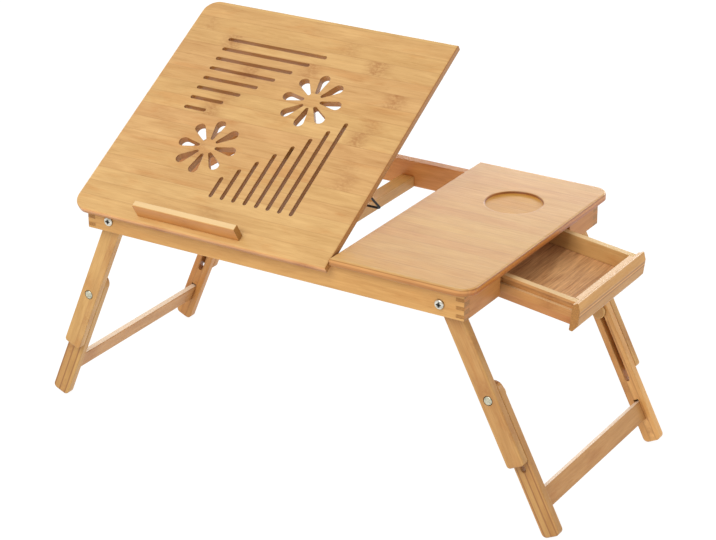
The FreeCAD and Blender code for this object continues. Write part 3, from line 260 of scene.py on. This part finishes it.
def stripPattern(tree, look, seed, x, y, z):  # which strip a point is in, and the glue lines between them
    wander = grain(tree, "wander", x, y, z)
    sideways = calc(tree, "ADD", calc(tree, "DIVIDE", y, look["stripWidth"]),
                    times(tree, wander, grainShare["wander"]))
    depthways = calc(tree, "DIVIDE", z, look["stripDepth"])
    column = calc(tree, "FLOOR", sideways)
    layer = calc(tree, "FLOOR", depthways)
    strip = randomOf(tree, joinXyz(tree, column, layer, seed + 0.5))
    shift = randomOf(tree, joinXyz(tree, layer, column, seed + 7.5))["Value"]
    glueLine = 0.0
    for across, size in ((sideways, look["stripWidth"]), (depthways, look["stripDepth"])):
        if size < uncut:
            fromMiddle = calc(tree, "ABSOLUTE", aroundHalf(tree, calc(tree, "FRACT", across)))
            inwards = times(tree, calc(tree, "SUBTRACT", 0.5, fromMiddle), size)
            glueLine = calc(tree, "MAXIMUM", glueLine, ramp(tree, inwards, look["grooveWidth"], 0.0))
    return strip["Value"], strip["Color"], shift, glueLine


def fibrePattern(tree, look, shift, x, y, z):  # hairs, fibres, streaks and dashes, shifted strip by strip
    shiftedX = calc(tree, "ADD", x, times(tree, shift, grainShare["shift"]))
    swing = grain(tree, "swing", shiftedX, y, z)
    drift = times(tree, aroundHalf(tree, swing), look["waver"])
    wavyY = calc(tree, "ADD", y, drift)
    wavyZ = calc(tree, "ADD", z, drift)
    fibres = {key: grain(tree, key, shiftedX, wavyY, wavyZ) for key in ("hair", "fibre", "streak", "dash")}
    fibres["blush"] = grain(tree, "blush", shiftedX, y, z)
    return fibres


def jointPattern(tree, look, shift, x, y, z):  # a redder, blotched band across a strip at uneven places
    along = calc(tree, "ADD", calc(tree, "DIVIDE", x, look["jointGap"]),
                 times(tree, shift, grainShare["jointShift"]))
    bend = grain(tree, "jointBend", x, y, z)
    bent = calc(tree, "ADD", along, times(tree, bend, grainShare["jointBend"]))
    fromJoint = calc(tree, "ABSOLUTE", aroundHalf(tree, calc(tree, "FRACT", bent)))
    reach = look["jointWidth"] / look["jointGap"]
    band = ramp(tree, fromJoint, reach * grainShare["jointBand"], 0.0)
    core = ramp(tree, fromJoint, reach * grainShare["jointCore"], 0.0)
    chance = calc(tree, "FRACT", times(tree, shift, grainShare["jointChance"]))
    seen = ramp(tree, chance, *grainEdge["jointSeen"])
    speckle = grain(tree, "jointSpeckle", x, y, z)
    mark = times(tree, band, ramp(tree, speckle, *grainEdge["jointSpeckle"]))
    mark = calc(tree, "ADD", mark, times(tree, core, grainShare["jointDarkness"]), True)
    return times(tree, mark, times(tree, seen, look["jointShow"])), core


def woodColour(tree, look, strip, stripColour, glueLine, fibres, jointMark):
    tone = times(tree, aroundHalf(tree, strip), look["stripSpread"])
    streak = times(tree, aroundHalf(tree, fibres["streak"]), look["streakShow"] * grainShare["streak"])
    fibre = times(tree, aroundHalf(tree, fibres["fibre"]), look["fibreShow"] * grainShare["fibre"])
    hair = times(tree, aroundHalf(tree, fibres["hair"]), look["fibreShow"])
    dashes = times(tree, ramp(tree, fibres["dash"], *grainEdge["dash"]), look["dashShow"])
    depth = calc(tree, "ADD", calc(tree, "ADD", tone, streak), calc(tree, "ADD", fibre, hair))
    depth = calc(tree, "ADD", calc(tree, "ADD", depth, dashes), look["balance"], True)
    colour = mixColour(tree, depth, look["pale"], look["deep"])
    colour = mixColour(tree, grainShare["strip"], colour, stripColour, "SOFT_LIGHT")
    blushed = ramp(tree, fibres["blush"], *grainEdge["blush"], 0.0, look["blushShow"])
    colour = mixColour(tree, blushed, colour, look["blush"], "MULTIPLY")
    colour = mixColour(tree, jointMark, colour, look["joint"])
    return mixColour(tree, times(tree, glueLine, look["grooveShow"]), colour, look["glue"])


def layerTint(tree, height, layersAndShading):  # a tint for each height, from the bottom to the top
    node = tree.nodes.new("ShaderNodeValToRGB")
    stops = node.color_ramp.elements
    for index, (place, tint) in enumerate(layersAndShading):
        stop = stops[index] if index < 2 else stops.new(place)
        stop.position = place
        stop.color = tint
    feed(tree, height, node.inputs["Fac"])
    return node.outputs["Color"]


def sideColour(tree, look, colour, y, height, upwards):  # the upright sides, darkened with painted shade, or banded in pressed layers with painted shade and highlight
    if not (look["sideShadeTint"] or look["layersAndShading"]):
        return colour
    upright = ramp(tree, calc(tree, "ABSOLUTE", upwards), *grainEdge["upright"])
    if look["sideShadeTint"]:
        colour = mixColour(tree, upright, colour, look["sideShadeTint"], "MULTIPLY")
    if look["layersAndShading"]:
        front = look["layerPlace"][2]
        onSide = layerTint(tree, height, look["layersAndShading"]["sides"])
        onFront = layerTint(tree, height, look["layersAndShading"].get("front", look["layersAndShading"]["sides"]))
        atFront = ramp(tree, y, front + frontBand[0], front + frontBand[1])
        colour = mixColour(tree, upright, colour, mixColour(tree, atFront, onSide, onFront), "MULTIPLY")
    return colour


recessEdge = {"wall": 0.0006, "floor": (0.0006, 0.0002), "lip": (0.0011, 0.0003), "lipOff": 0.0002}
# the slope darkens the recess floor towards the front, painted shade
recessCloud = {"scale": 28.0, "detail": 3.0, "roughness": 0.6, "strength": 0.8, "slope": 8.0}


def hollowColour(tree, position, colour, hollow):  # tints a round recess: a golden floor darkened towards the front with painted shade, a wall darkened with painted shade, and a darker ring round the lip
    x, y, z = splitXyz(tree, position)
    offX = calc(tree, "SUBTRACT", x, hollow["centre"][0])
    offY = calc(tree, "SUBTRACT", y, hollow["centre"][1])
    away = distanceFrom(tree, offX, offY)
    within = ramp(tree, away, hollow["radius"] + recessEdge["wall"], hollow["radius"])
    inside = times(tree, within, ramp(tree, z, hollow["rim"], hollow["rim"] - recessEdge["wall"]))
    high, low = recessEdge["floor"]
    floorPart = ramp(tree, z, hollow["floor"] + high, hollow["floor"] + low)
    cloud = noise(tree, position, recessCloud["scale"], recessCloud["detail"], recessCloud["roughness"])
    deeper = calc(tree, "SUBTRACT", times(tree, cloud, recessCloud["strength"]),
                  times(tree, offY, recessCloud["slope"]), True)
    floorTint = mixColour(tree, deeper, hollow["floorTint"], hollow["floorShade"])
    tint = mixColour(tree, floorPart, hollow["wallTint"], floorTint)
    fromLip = calc(tree, "ABSOLUTE", calc(tree, "SUBTRACT", away, hollow["radius"] + recessEdge["lipOff"]))
    lipped = mixColour(tree, ramp(tree, fromLip, *recessEdge["lip"]), colour, hollow["lipTint"], "MULTIPLY")
    return mixColour(tree, inside, lipped, mixColour(tree, 1.0, colour, tint, "MULTIPLY"))


def endColour(tree, look, height, x, y, z):  # sawn ends show dark dots of the cut fibres
    dots = grain(tree, "endDots", x, y, z)
    colour = mixColour(tree, ramp(tree, dots, *grainEdge["endDots"]), look["end"], look["endDots"])
    # the end bands paint shade and highlight across a board's ends, with its layers
    if look["layersAndShading"] and "ends" in look["layersAndShading"]:
        colour = mixColour(tree, 1.0, colour, layerTint(tree, height, look["layersAndShading"]["ends"]), "MULTIPLY")
    return colour


def shadeAndHighlightEdges(tree, look, colour):  # painted warm shade in the corners, a painted highlight along the arrises, and the rounded normal
    closed = ramp(tree, cornerShade(tree, cornerReach), *grainEdge["corner"], 0.0, 1.0)
    shaded = mixColour(tree, closed, colour, look["cornerShadeTint"], "MULTIPLY")
    rounded = tree.nodes.new("ShaderNodeBevel")
    rounded.samples = arrisSamples
    rounded.inputs["Radius"].default_value = look["arris"]
    straight = tree.nodes.new("ShaderNodeNewGeometry")
    agree = tree.nodes.new("ShaderNodeVectorMath")
    agree.operation = "DOT_PRODUCT"
    tree.links.new(rounded.outputs["Normal"], agree.inputs[0])
    tree.links.new(straight.outputs["Normal"], agree.inputs[1])
    arrisHighlight = ramp(tree, agree.outputs["Value"], *grainEdge["arrisHighlight"], 0.0, look["arrisHighlight"])
    return mixColour(tree, arrisHighlight, shaded, look["pale"]), rounded.outputs["Normal"]


def bambooMaterial(name, turn, seed, look):
    look = {**bamboo, **look}
    material, tree, shader = newTree(name)
    where, (x, y, z), facing = grainFrame(tree, turn, seed)
    lengthways, upwards = facing[0], facing[2]
    strip, stripColour, shift, glueLine = stripPattern(tree, look, seed, x, y, z)
    fibres = fibrePattern(tree, look, shift, x, y, z)
    jointMark, jointCore = jointPattern(tree, look, shift, x, y, z)
    colour = woodColour(tree, look, strip, stripColour, glueLine, fibres, jointMark)
    height = None
    if look["layersAndShading"]:
        low, high = look["layerPlace"][:2]
        height = calc(tree, "DIVIDE", calc(tree, "SUBTRACT", z, low), high - low)
    colour = sideColour(tree, look, colour, y, height, upwards)
    if look["topSheenTint"]:  # narrow faces that look up are painted paler and creamier, a painted sheen
        skyward = ramp(tree, splitXyz(tree, where["Normal"])[2], *grainEdge["skyward"], 0.0, look["topSheenShow"])
        colour = mixColour(tree, skyward, colour, look["topSheenTint"])
    if look["hollow"]:
        colour = hollowColour(tree, where["Object"], colour, look["hollow"])
    isEnd = ramp(tree, calc(tree, "ABSOLUTE", lengthways), *grainEdge["end"], 0.0, look["endShow"])
    colour = mixColour(tree, isEnd, colour, endColour(tree, look, height, x, y, z))
    colour, roundedNormal = shadeAndHighlightEdges(tree, look, colour)
    tree.links.new(colour, shader.inputs["Base Color"])

    gloss = calc(tree, "ADD", look["roughness"],
                 times(tree, aroundHalf(tree, fibres["fibre"]), grainShare["glossFibre"]))
    gloss = calc(tree, "ADD", gloss, times(tree, jointMark, grainShare["glossJoint"]), True)
    tree.links.new(gloss, shader.inputs["Roughness"])
    shader.inputs["Coat Weight"].default_value = look["coat"]
    shader.inputs["Coat Roughness"].default_value = look["coatRoughness"]
    shader.inputs["Specular IOR Level"].default_value = look["specular"]

    relief = calc(tree, "ADD", times(tree, fibres["fibre"], grainShare["reliefFibre"]),
                  times(tree, fibres["hair"], grainShare["reliefHair"]))
    relief = calc(tree, "SUBTRACT", relief, times(tree, glueLine, grainShare["reliefGlue"]))
    relief = calc(tree, "ADD", relief, times(tree, jointCore, grainShare["reliefJoint"]))
    bump = bumpOf(tree, relief, look["bump"], reliefDepth)
    tree.links.new(roundedNormal, bump.inputs["Normal"])
    tree.links.new(bump.outputs["Normal"], shader.inputs["Normal"])
    return material


# metals, with cloudy tarnish, fine scratches, and painted shade in the corners and in the screw heads'
# driver recesses

plate = {
    "base": rgb(0.72, 0.70, 0.66),
    "dark": rgb(0.50, 0.48, 0.45),
    # near black colour of the painted shade in corners and driver recesses
    "shadeColour": rgb(0.05, 0.04, 0.03),
    "roughness": 0.28,
    "scale": 300.0,
    "metallic": 1.0,
    "specular": 0.5,
    "bump": 0.15,
    "driver": None,
}
plateMarks = {
    "cloudNoise": (4.0, 0.6),
    "cloudEdge": (0.35, 0.7),
    "scratchStretch": (4, 20, 4),
    "scratchNoise": (3.0, 0.7),
    "scratchGloss": 0.25,
    # how far and how dark the painted shade reaches in corners and driver recesses
    "cornerReach": 0.003,
    "cornerEdge": (0.92, 0.50),
    "cornerShadeAmount": 0.95,
    "driverShadeAmount": 0.85,
    "reliefDepth": 0.0002,
}


def metalMaterial(name, **changes):
    look = {**plate, **changes}
    material, tree, shader = newTree(name)
    where = tree.nodes.new("ShaderNodeTexCoord")
    x, y, z = splitXyz(tree, where.outputs["Object"])
    scale = look["scale"]
    cloud = noise(tree, stretched(tree, x, y, z, scale, scale, scale), 1.0, *plateMarks["cloudNoise"])
    along, across, through = (scale * factor for factor in plateMarks["scratchStretch"])
    scratch = noise(tree, stretched(tree, x, y, z, along, across, through), 1.0, *plateMarks["scratchNoise"])
    closed = ramp(tree, cornerShade(tree, plateMarks["cornerReach"]), *plateMarks["cornerEdge"],
                  0.0, plateMarks["cornerShadeAmount"])
    plated = mixColour(tree, ramp(tree, cloud, *plateMarks["cloudEdge"]), look["base"], look["dark"])
    if look["driver"]:  # painted shade fills the driver recess in the middle of a screw head
        driver = look["driver"]
        away = distanceFrom(tree, calc(tree, "SUBTRACT", calc(tree, "ABSOLUTE", x), driver["x"]),
                            calc(tree, "SUBTRACT", z, driver["z"]))
        dark = ramp(tree, away, driver["outer"], driver["inner"], 0.0, plateMarks["driverShadeAmount"])
        closed = calc(tree, "MAXIMUM", closed, dark)
    tree.links.new(mixColour(tree, closed, plated, look["shadeColour"]), shader.inputs["Base Color"])
    rough = calc(tree, "ADD", look["roughness"], times(tree, scratch, plateMarks["scratchGloss"]), True)
    tree.links.new(rough, shader.inputs["Roughness"])
    shader.inputs["Metallic"].default_value = look["metallic"]
    shader.inputs["Specular IOR Level"].default_value = look["specular"]
    bump = bumpOf(tree, scratch, look["bump"], plateMarks["reliefDepth"])
    tree.links.new(bump.outputs["Normal"], shader.inputs["Normal"])
    return material


# finishes of the pieces

def toneAndLight(red, green, blue):  # the pale and deep tones of a piece, shifted together: partly its own tone, partly painted light and shade matched to how the piece is lit
    return {key: rgb(bamboo[key][0] * red, bamboo[key][1] * green, bamboo[key][2] * blue)
            for key in ("pale", "deep")}


def dress(names, material):
    for name in names:
        slots = nodes[name].data.materials
        slots.clear()
        slots.append(material)


def dressBamboo(names, title, turn, seed, look, layersAndShading=None):  # the edges of a pressed board are tinted in bands: its layers, painted shade and painted highlight
    if layersAndShading:
        look = {**look, "layersAndShading": layersAndShading, "layerPlace": acrossPiece(names[0], turn, seed)}
    dress(names, bambooMaterial(title, turn, seed, look))


# turns that bring each piece's grain onto x
alongX = (0, 0, 0)
alongY = (0, 0, -90)
onEdge = (90, 0, 0)
tilted = (-pose["panelTilt"], 0, 0)
drooping = (0, -pose["drawerDroop"], 0)
droopingAcross = (0, -pose["drawerDroop"], -90)
legTurn = {"right": 90 + pose["rightLean"], "left": 90 - pose["leftLean"]}

pinkish = rgb(0.67, 0.382, 0.130)
# the creamy colour of a painted sheen on tops
creamTopSheen = rgb(0.80, 0.575, 0.30)
onePiece = {"stripWidth": uncut, "stripDepth": uncut}  # a piece cut from one layer of strips

tiltingPanel = {"stripDepth": uncut, "arris": 0.0014, "coat": 0.30, "specular": 0.25, "blushShow": 0.55}
tiltingLayersAndShading = {  # tints of a board's edges, from the bottom to the top: its pressed layers, with painted shade and painted highlight bands
    "sides": [(0.00, rgb(0.72, 0.55, 0.36)), (1.00, rgb(0.78, 0.60, 0.38))],
    "front": [(0.00, rgb(0.66, 0.48, 0.28)), (0.40, rgb(0.84, 0.64, 0.42)), (0.56, rgb(1.20, 1.05, 0.95)),
              (1.00, rgb(1.28, 1.16, 1.04))],
    "ends": [(0.00, rgb(1.00, 1.00, 1.30)), (0.50, rgb(1.16, 1.22, 1.50)), (0.76, rgb(1.18, 1.14, 1.20)),
             (0.88, rgb(0.80, 0.60, 0.34)), (1.00, rgb(0.90, 0.70, 0.40))],
}
dressBamboo(["tilting_panel"], "panelBamboo", tilted, 1, tiltingPanel, tiltingLayersAndShading)

# the ledge's upright faces are darkened with painted shade, and its top carries a painted sheen
ledge = {"stripDepth": uncut, "jointShow": 0.15, "sideShadeTint": rgb(0.84, 0.60, 0.42), "topSheenTint": creamTopSheen,
         "topSheenShow": 0.75}
dressBamboo(["ledge"], "ledgeBamboo", tilted, 2, ledge)

cupRecess = {
    "centre": (0.193, 0.078),
    "radius": 0.0352,
    "rim": 0.3019,
    "floor": 0.299,
    "floorTint": rgb(1.04, 0.93, 0.50),
    "floorShade": rgb(0.84, 0.72, 0.26),
    # a dark wall, painted shade inside the recess
    "wallTint": rgb(0.50, 0.31, 0.08),
    "lipTint": rgb(0.70, 0.50, 0.26),
}
fixedPanel = {
    "stripDepth": uncut,
    "pale": pinkish,
    "deep": rgb(0.47, 0.222, 0.060),
    "stripSpread": 0.18,
    "jointShow": 0.14,
    "streakShow": 0.48,
    "fibreShow": 0.72,
    "arris": 0.0026,
    "hollow": cupRecess,
    "coat": 0.55,
    "specular": 0.25,
    "blushShow": 0.40,
    "blush": rgb(0.96, 0.82, 0.66),
}
# the fixed panel's edges: its pressed layers, with painted shade low down, a painted highlight band above
# the middle and a dark line near the top
fixedLayersAndShading = {
    "sides": [(0.00, rgb(0.64, 0.46, 0.32)), (0.42, rgb(0.72, 0.52, 0.38)), (0.52, rgb(0.96, 0.76, 0.66)),
              (0.74, rgb(0.98, 0.80, 0.68)), (0.84, rgb(0.56, 0.40, 0.26)), (1.00, rgb(0.90, 0.76, 0.56))],
    "ends": [(0.00, rgb(1.00, 0.58, 0.30)), (0.38, rgb(1.15, 0.80, 0.40)), (0.48, rgb(1.50, 1.25, 0.90)),
             (0.72, rgb(1.45, 1.18, 0.80)), (0.82, rgb(0.80, 0.50, 0.26)), (1.00, rgb(1.30, 0.98, 0.56))],
}
dressBamboo(["fixed_panel"], "sidePanelBamboo", alongX, 3, fixedPanel, fixedLayersAndShading)

# the end rails and the back rail are darker and more saturated, partly painted shade
frontRail = {**onePiece, **toneAndLight(0.93, 0.82, 0.70)}
backRail = {"blushShow": 0.7, **onePiece, **toneAndLight(0.96, 0.74, 0.60)}
endRails = {"blushShow": 0.5, **onePiece, **toneAndLight(0.88, 0.66, 0.50)}
innerRails = {"stripDepth": uncut, **toneAndLight(0.88, 0.68, 0.54)}
centreBar = {"stripWidth": uncut, "pale": pinkish}
dressBamboo(["front_rail"], "railBamboo", onEdge, 4, frontRail)
dressBamboo(["back_rail"], "backRailBamboo", onEdge, 4.6, backRail)
dressBamboo(["left_end_rail", "right_end_rail_front", "right_end_rail_back"], "endRailBamboo", alongY, 5,
            endRails)
dressBamboo(["drawer_runner_front", "drawer_runner_back", "drawer_divider"], "innerBamboo", alongX, 6,
            innerRails)
dressBamboo(["centre_bar"], "barBamboo", alongY, 7, centreBar)
print("panels and rails dressed")

legs = {
    "stripWidth": uncut,
    "grooveWidth": 0.0016,
    "blushShow": 0.6,
    "jointShow": 0.6,
    "arris": 0.0018,
    "arrisHighlight": 0.15,
    "streakShow": 0.8,
    "jointGap": 0.11,
    "specular": 0.28,
    "coat": 0.15,
}
upperLeg = {**legs, "stripDepth": 0.0165, "stripSpread": 0.3, "grooveShow": 0.12}
lowerLeg = {**legs, "stripDepth": 0.0085, "stripSpread": 0.5, "grooveShow": 0.85}
lowerLegBack = {**lowerLeg, "grooveShow": 0.35}
# each leg's tone is partly its own and partly painted light and shade matched to how it is lit
legFinish = {
    "right_upper_leg_front": (upperLeg, toneAndLight(0.81, 0.72, 0.63)),
    "right_lower_leg_front": (lowerLeg, toneAndLight(0.78, 0.68, 0.56)),
    "right_upper_leg_back": (upperLeg, toneAndLight(1.00, 0.92, 0.70)),
    # brightened to make up for light it misses under the desk, painted light
    "right_lower_leg_back": (lowerLegBack, toneAndLight(1.12, 1.01, 0.88)),
    "left_upper_leg_front": (upperLeg, toneAndLight(0.90, 0.85, 0.76)),
    "left_lower_leg_front": (lowerLeg, toneAndLight(0.82, 0.75, 0.60)),
    "left_upper_leg_back": (upperLeg, toneAndLight(0.88, 0.76, 0.60)),
    "left_lower_leg_back": (lowerLegBack, toneAndLight(0.82, 0.64, 0.44)),
}
legSeeds = {"first": 8, "step": 1.3}
for index, (name, (look, pieceToneAndLight)) in enumerate(legFinish.items()):
    turn = legTurn[name.split("_")[0]]
    dressBamboo([name], name + "Bamboo", (0, turn, 0), legSeeds["first"] + index * legSeeds["step"],
                {**look, **pieceToneAndLight})

# the stretchers' tops carry a painted sheen
stretcher = {**onePiece, "blushShow": 0.6, "topSheenTint": rgb(0.95, 0.80, 0.62), "topSheenShow": 0.85, "coat": 0.15,
             **toneAndLight(0.84, 0.74, 0.66)}
knob = {**onePiece, "endShow": 0.5}
for side, turn in legTurn.items():
    dressBamboo([f"{side}_stretcher"], side + "StretcherBamboo", (0, turn, -90), 14, stretcher)
    dressBamboo([f"{side}_knob_front", f"{side}_knob_back"], side + "KnobBamboo", (0, turn, -90), 15, knob)
print("legs, stretchers and knobs dressed")

# the drawer front's top carries a painted highlight
drawerFront = {**onePiece, "jointShow": 0.25, "topSheenTint": rgb(0.88, 0.64, 0.42), "topSheenShow": 0.8,
               **toneAndLight(0.94, 0.84, 0.70)}
# the drawer front's face: darker low down, a painted line of shade, highlight and shade along it, and
# lighter above
drawerFrontShading = {
    "sides": [(0.00, rgb(0.84, 0.80, 0.70)), (0.50, rgb(0.86, 0.80, 0.70)), (0.55, rgb(0.52, 0.42, 0.28)),
              (0.60, rgb(1.24, 1.18, 1.10)), (0.66, rgb(0.60, 0.50, 0.36)), (0.73, rgb(1.02, 1.00, 0.94)),
              (1.00, rgb(1.04, 1.02, 0.98))],
}
# the drawer sides' tops carry a painted sheen
drawerSide = {**onePiece, "topSheenTint": creamTopSheen, "topSheenShow": 0.75, "blushShow": 0.6,
              # only light painted shade in their corners
              "cornerShadeTint": rgb(0.82, 0.76, 0.72)}
# the near drawer side is darker and the far side paler, painted shade and light
drawerSideToneAndLight = {"drawer_side_front": toneAndLight(0.83, 0.67, 0.60),
                   "drawer_side_back": toneAndLight(0.92, 0.90, 0.84)}
drawerBack = {"stripWidth": uncut, **toneAndLight(0.80, 0.66, 0.56)}
drawerBottom = {
    "stripDepth": uncut,
    "stripWidth": 0.06,
    "pale": rgb(0.73, 0.405, 0.178),
    "deep": rgb(0.30, 0.120, 0.044),
    "stripSpread": 0.16,
    "jointShow": 0.1,
    "fibreShow": 1.2,
    "streakShow": 0.7,
    "dashShow": 0.3,
    "waver": 0.003,
    # deep painted shade in its corners
    "cornerShadeTint": rgb(0.38, 0.24, 0.17),
}
dressBamboo(["drawer_front"], "drawerFrontBamboo", droopingAcross, 16.4, drawerFront, drawerFrontShading)
for name, pieceToneAndLight in drawerSideToneAndLight.items():
    dressBamboo([name], name + "Bamboo", drooping, 17, {**drawerSide, **pieceToneAndLight})
dressBamboo(["drawer_back", "drawer_pins"], "drawerBackBamboo", droopingAcross, 18, drawerBack)
dressBamboo(["drawer_bottom"], "drawerBoardBamboo", droopingAcross, 19, drawerBottom)
print("drawer dressed")

pivotSteel = {
    "base": rgb(0.78, 0.76, 0.68),
    "dark": rgb(0.40, 0.39, 0.33),
    "roughness": 0.24,
    "scale": 400.0,
    "driver": {"x": 0.231, "z": 0.2735, "inner": 0.0018, "outer": 0.0032},
}
boltSteel = {"base": rgb(0.66, 0.64, 0.50), "dark": rgb(0.40, 0.40, 0.30), "roughness": 0.32, "scale": 400.0}
blackWire = {
    "base": rgb(0.008, 0.007, 0.006),
    "dark": rgb(0.020, 0.017, 0.015),
    "roughness": 0.42,
    "scale": 500.0,
    "metallic": 0.0,
    "specular": 0.25,
}
dress(["hinge_rail_leaves", "hinge_panel_leaves", "hinge_pins", "prop_staples", "hinge_rail_screws",
       "hinge_panel_screws", "ledge_screws", "pivot_nuts"], metalMaterial("zinc"))
dress(["pivot_screws"], metalMaterial("pivotSteel", **pivotSteel))
dress(["right_clamp_bolts", "left_clamp_bolts"], metalMaterial("boltSteel", **boltSteel))
dress(["wire_prop"], metalMaterial("blackWire", **blackWire))
print("metal pieces dressed")


# floor, lights and camera

floorLook = {"size": 30.0, "height": -0.0005, "base": 0.12, "glow": 0.93, "roughness": 0.9, "specular": 0.1}
skyStrength = 0.62
lamps = {  # a round lamp has one size, an oblong one has two
    "key": {"place": (0.05, -2.3, 2.5), "aim": (0, 0, 0.3), "size": 2.2, "power": 63.0},
    "sheen": {"place": (-0.1, 3.05, 0.86), "aim": (0.15, 0.1, 0.3), "size": (3.4, 1.0), "power": 42.0},
    "sideLeft": {"place": (-2.9, 0.9, 1.4), "aim": (0, 0, 0.2), "size": (1.6, 1.2), "power": 16.0},
    "sideRight": {"place": (2.3, 2.6, 1.4), "aim": (0, 0, 0.2), "size": (1.6, 1.2), "power": 16.0},
}
view = {
    "azimuth": 32.05,
    "elevation": 24.13,
    "roll": -0.464,
    "target": (-0.01727, 0.07896, 0.162),
    "distance": 2.85378,
    "lens": 113.33,
    "sensor": 36.0,
    "shiftX": -0.01092,
    "shiftY": 0.00283,
    "farthest": 100.0,
}
white = rgb(1.0, 1.0, 1.0)


def whiteFloor():
    bpy.ops.object.select_all(action="DESELECT")
    bpy.ops.mesh.primitive_plane_add(size=floorLook["size"], location=(0, 0, floorLook["height"]))
    floor = bpy.context.active_object
    floor.name = "floor"
    material, tree, shader = newTree("floorWhite")
    shader.inputs["Base Color"].default_value = rgb(floorLook["base"], floorLook["base"], floorLook["base"])
    shader.inputs["Emission Color"].default_value = white
    shader.inputs["Emission Strength"].default_value = floorLook["glow"]
    shader.inputs["Roughness"].default_value = floorLook["roughness"]
    shader.inputs["Specular IOR Level"].default_value = floorLook["specular"]
    floor.data.materials.append(material)


def areaLamp(name, place, aim, size, power):
    data = bpy.data.lights.new(name, "AREA")
    if isinstance(size, tuple):
        data.shape = "RECTANGLE"
        data.size, data.size_y = size
    else:
        data.shape = "DISK"
        data.size = size
    data.energy = power
    lamp = bpy.data.objects.new(name, data)
    bpy.context.collection.objects.link(lamp)
    lamp.location = place
    lamp.rotation_euler = (Vector(aim) - Vector(place)).to_track_quat("-Z", "Y").to_euler()


def studioSky():
    world = bpy.data.worlds.new("studioSky")
    world.use_nodes = True
    sky = world.node_tree.nodes["Background"]
    sky.inputs["Color"].default_value = white
    sky.inputs["Strength"].default_value = skyStrength
    bpy.context.scene.world = world


def addCamera():
    data = bpy.data.cameras.new("camera")
    data.lens = view["lens"]
    data.sensor_width = view["sensor"]
    data.shift_x = view["shiftX"]
    data.shift_y = view["shiftY"]
    data.clip_end = view["farthest"]
    camera = bpy.data.objects.new("camera", data)
    bpy.context.collection.objects.link(camera)
    azimuth = math.radians(view["azimuth"])
    elevation = math.radians(view["elevation"])
    roll = math.radians(view["roll"])
    back = Vector((math.sin(azimuth) * math.cos(elevation), -math.cos(azimuth) * math.cos(elevation),
                   math.sin(elevation)))
    right = Vector((math.cos(azimuth), math.sin(azimuth), 0))
    up = back.cross(right)
    rolledRight = right * math.cos(roll) + up * math.sin(roll)
    rolledUp = up * math.cos(roll) - right * math.sin(roll)
    turn = Matrix((rolledRight, rolledUp, back)).transposed().to_4x4()
    camera.matrix_world = Matrix.Translation(Vector(view["target"]) + back * view["distance"]) @ turn
    bpy.context.scene.camera = camera


whiteFloor()
studioSky()
for name, lamp in lamps.items():
    areaLamp(name, **lamp)
addCamera()
bpy.context.scene.view_settings.view_transform = "Standard"
print("floor, lights and camera set")
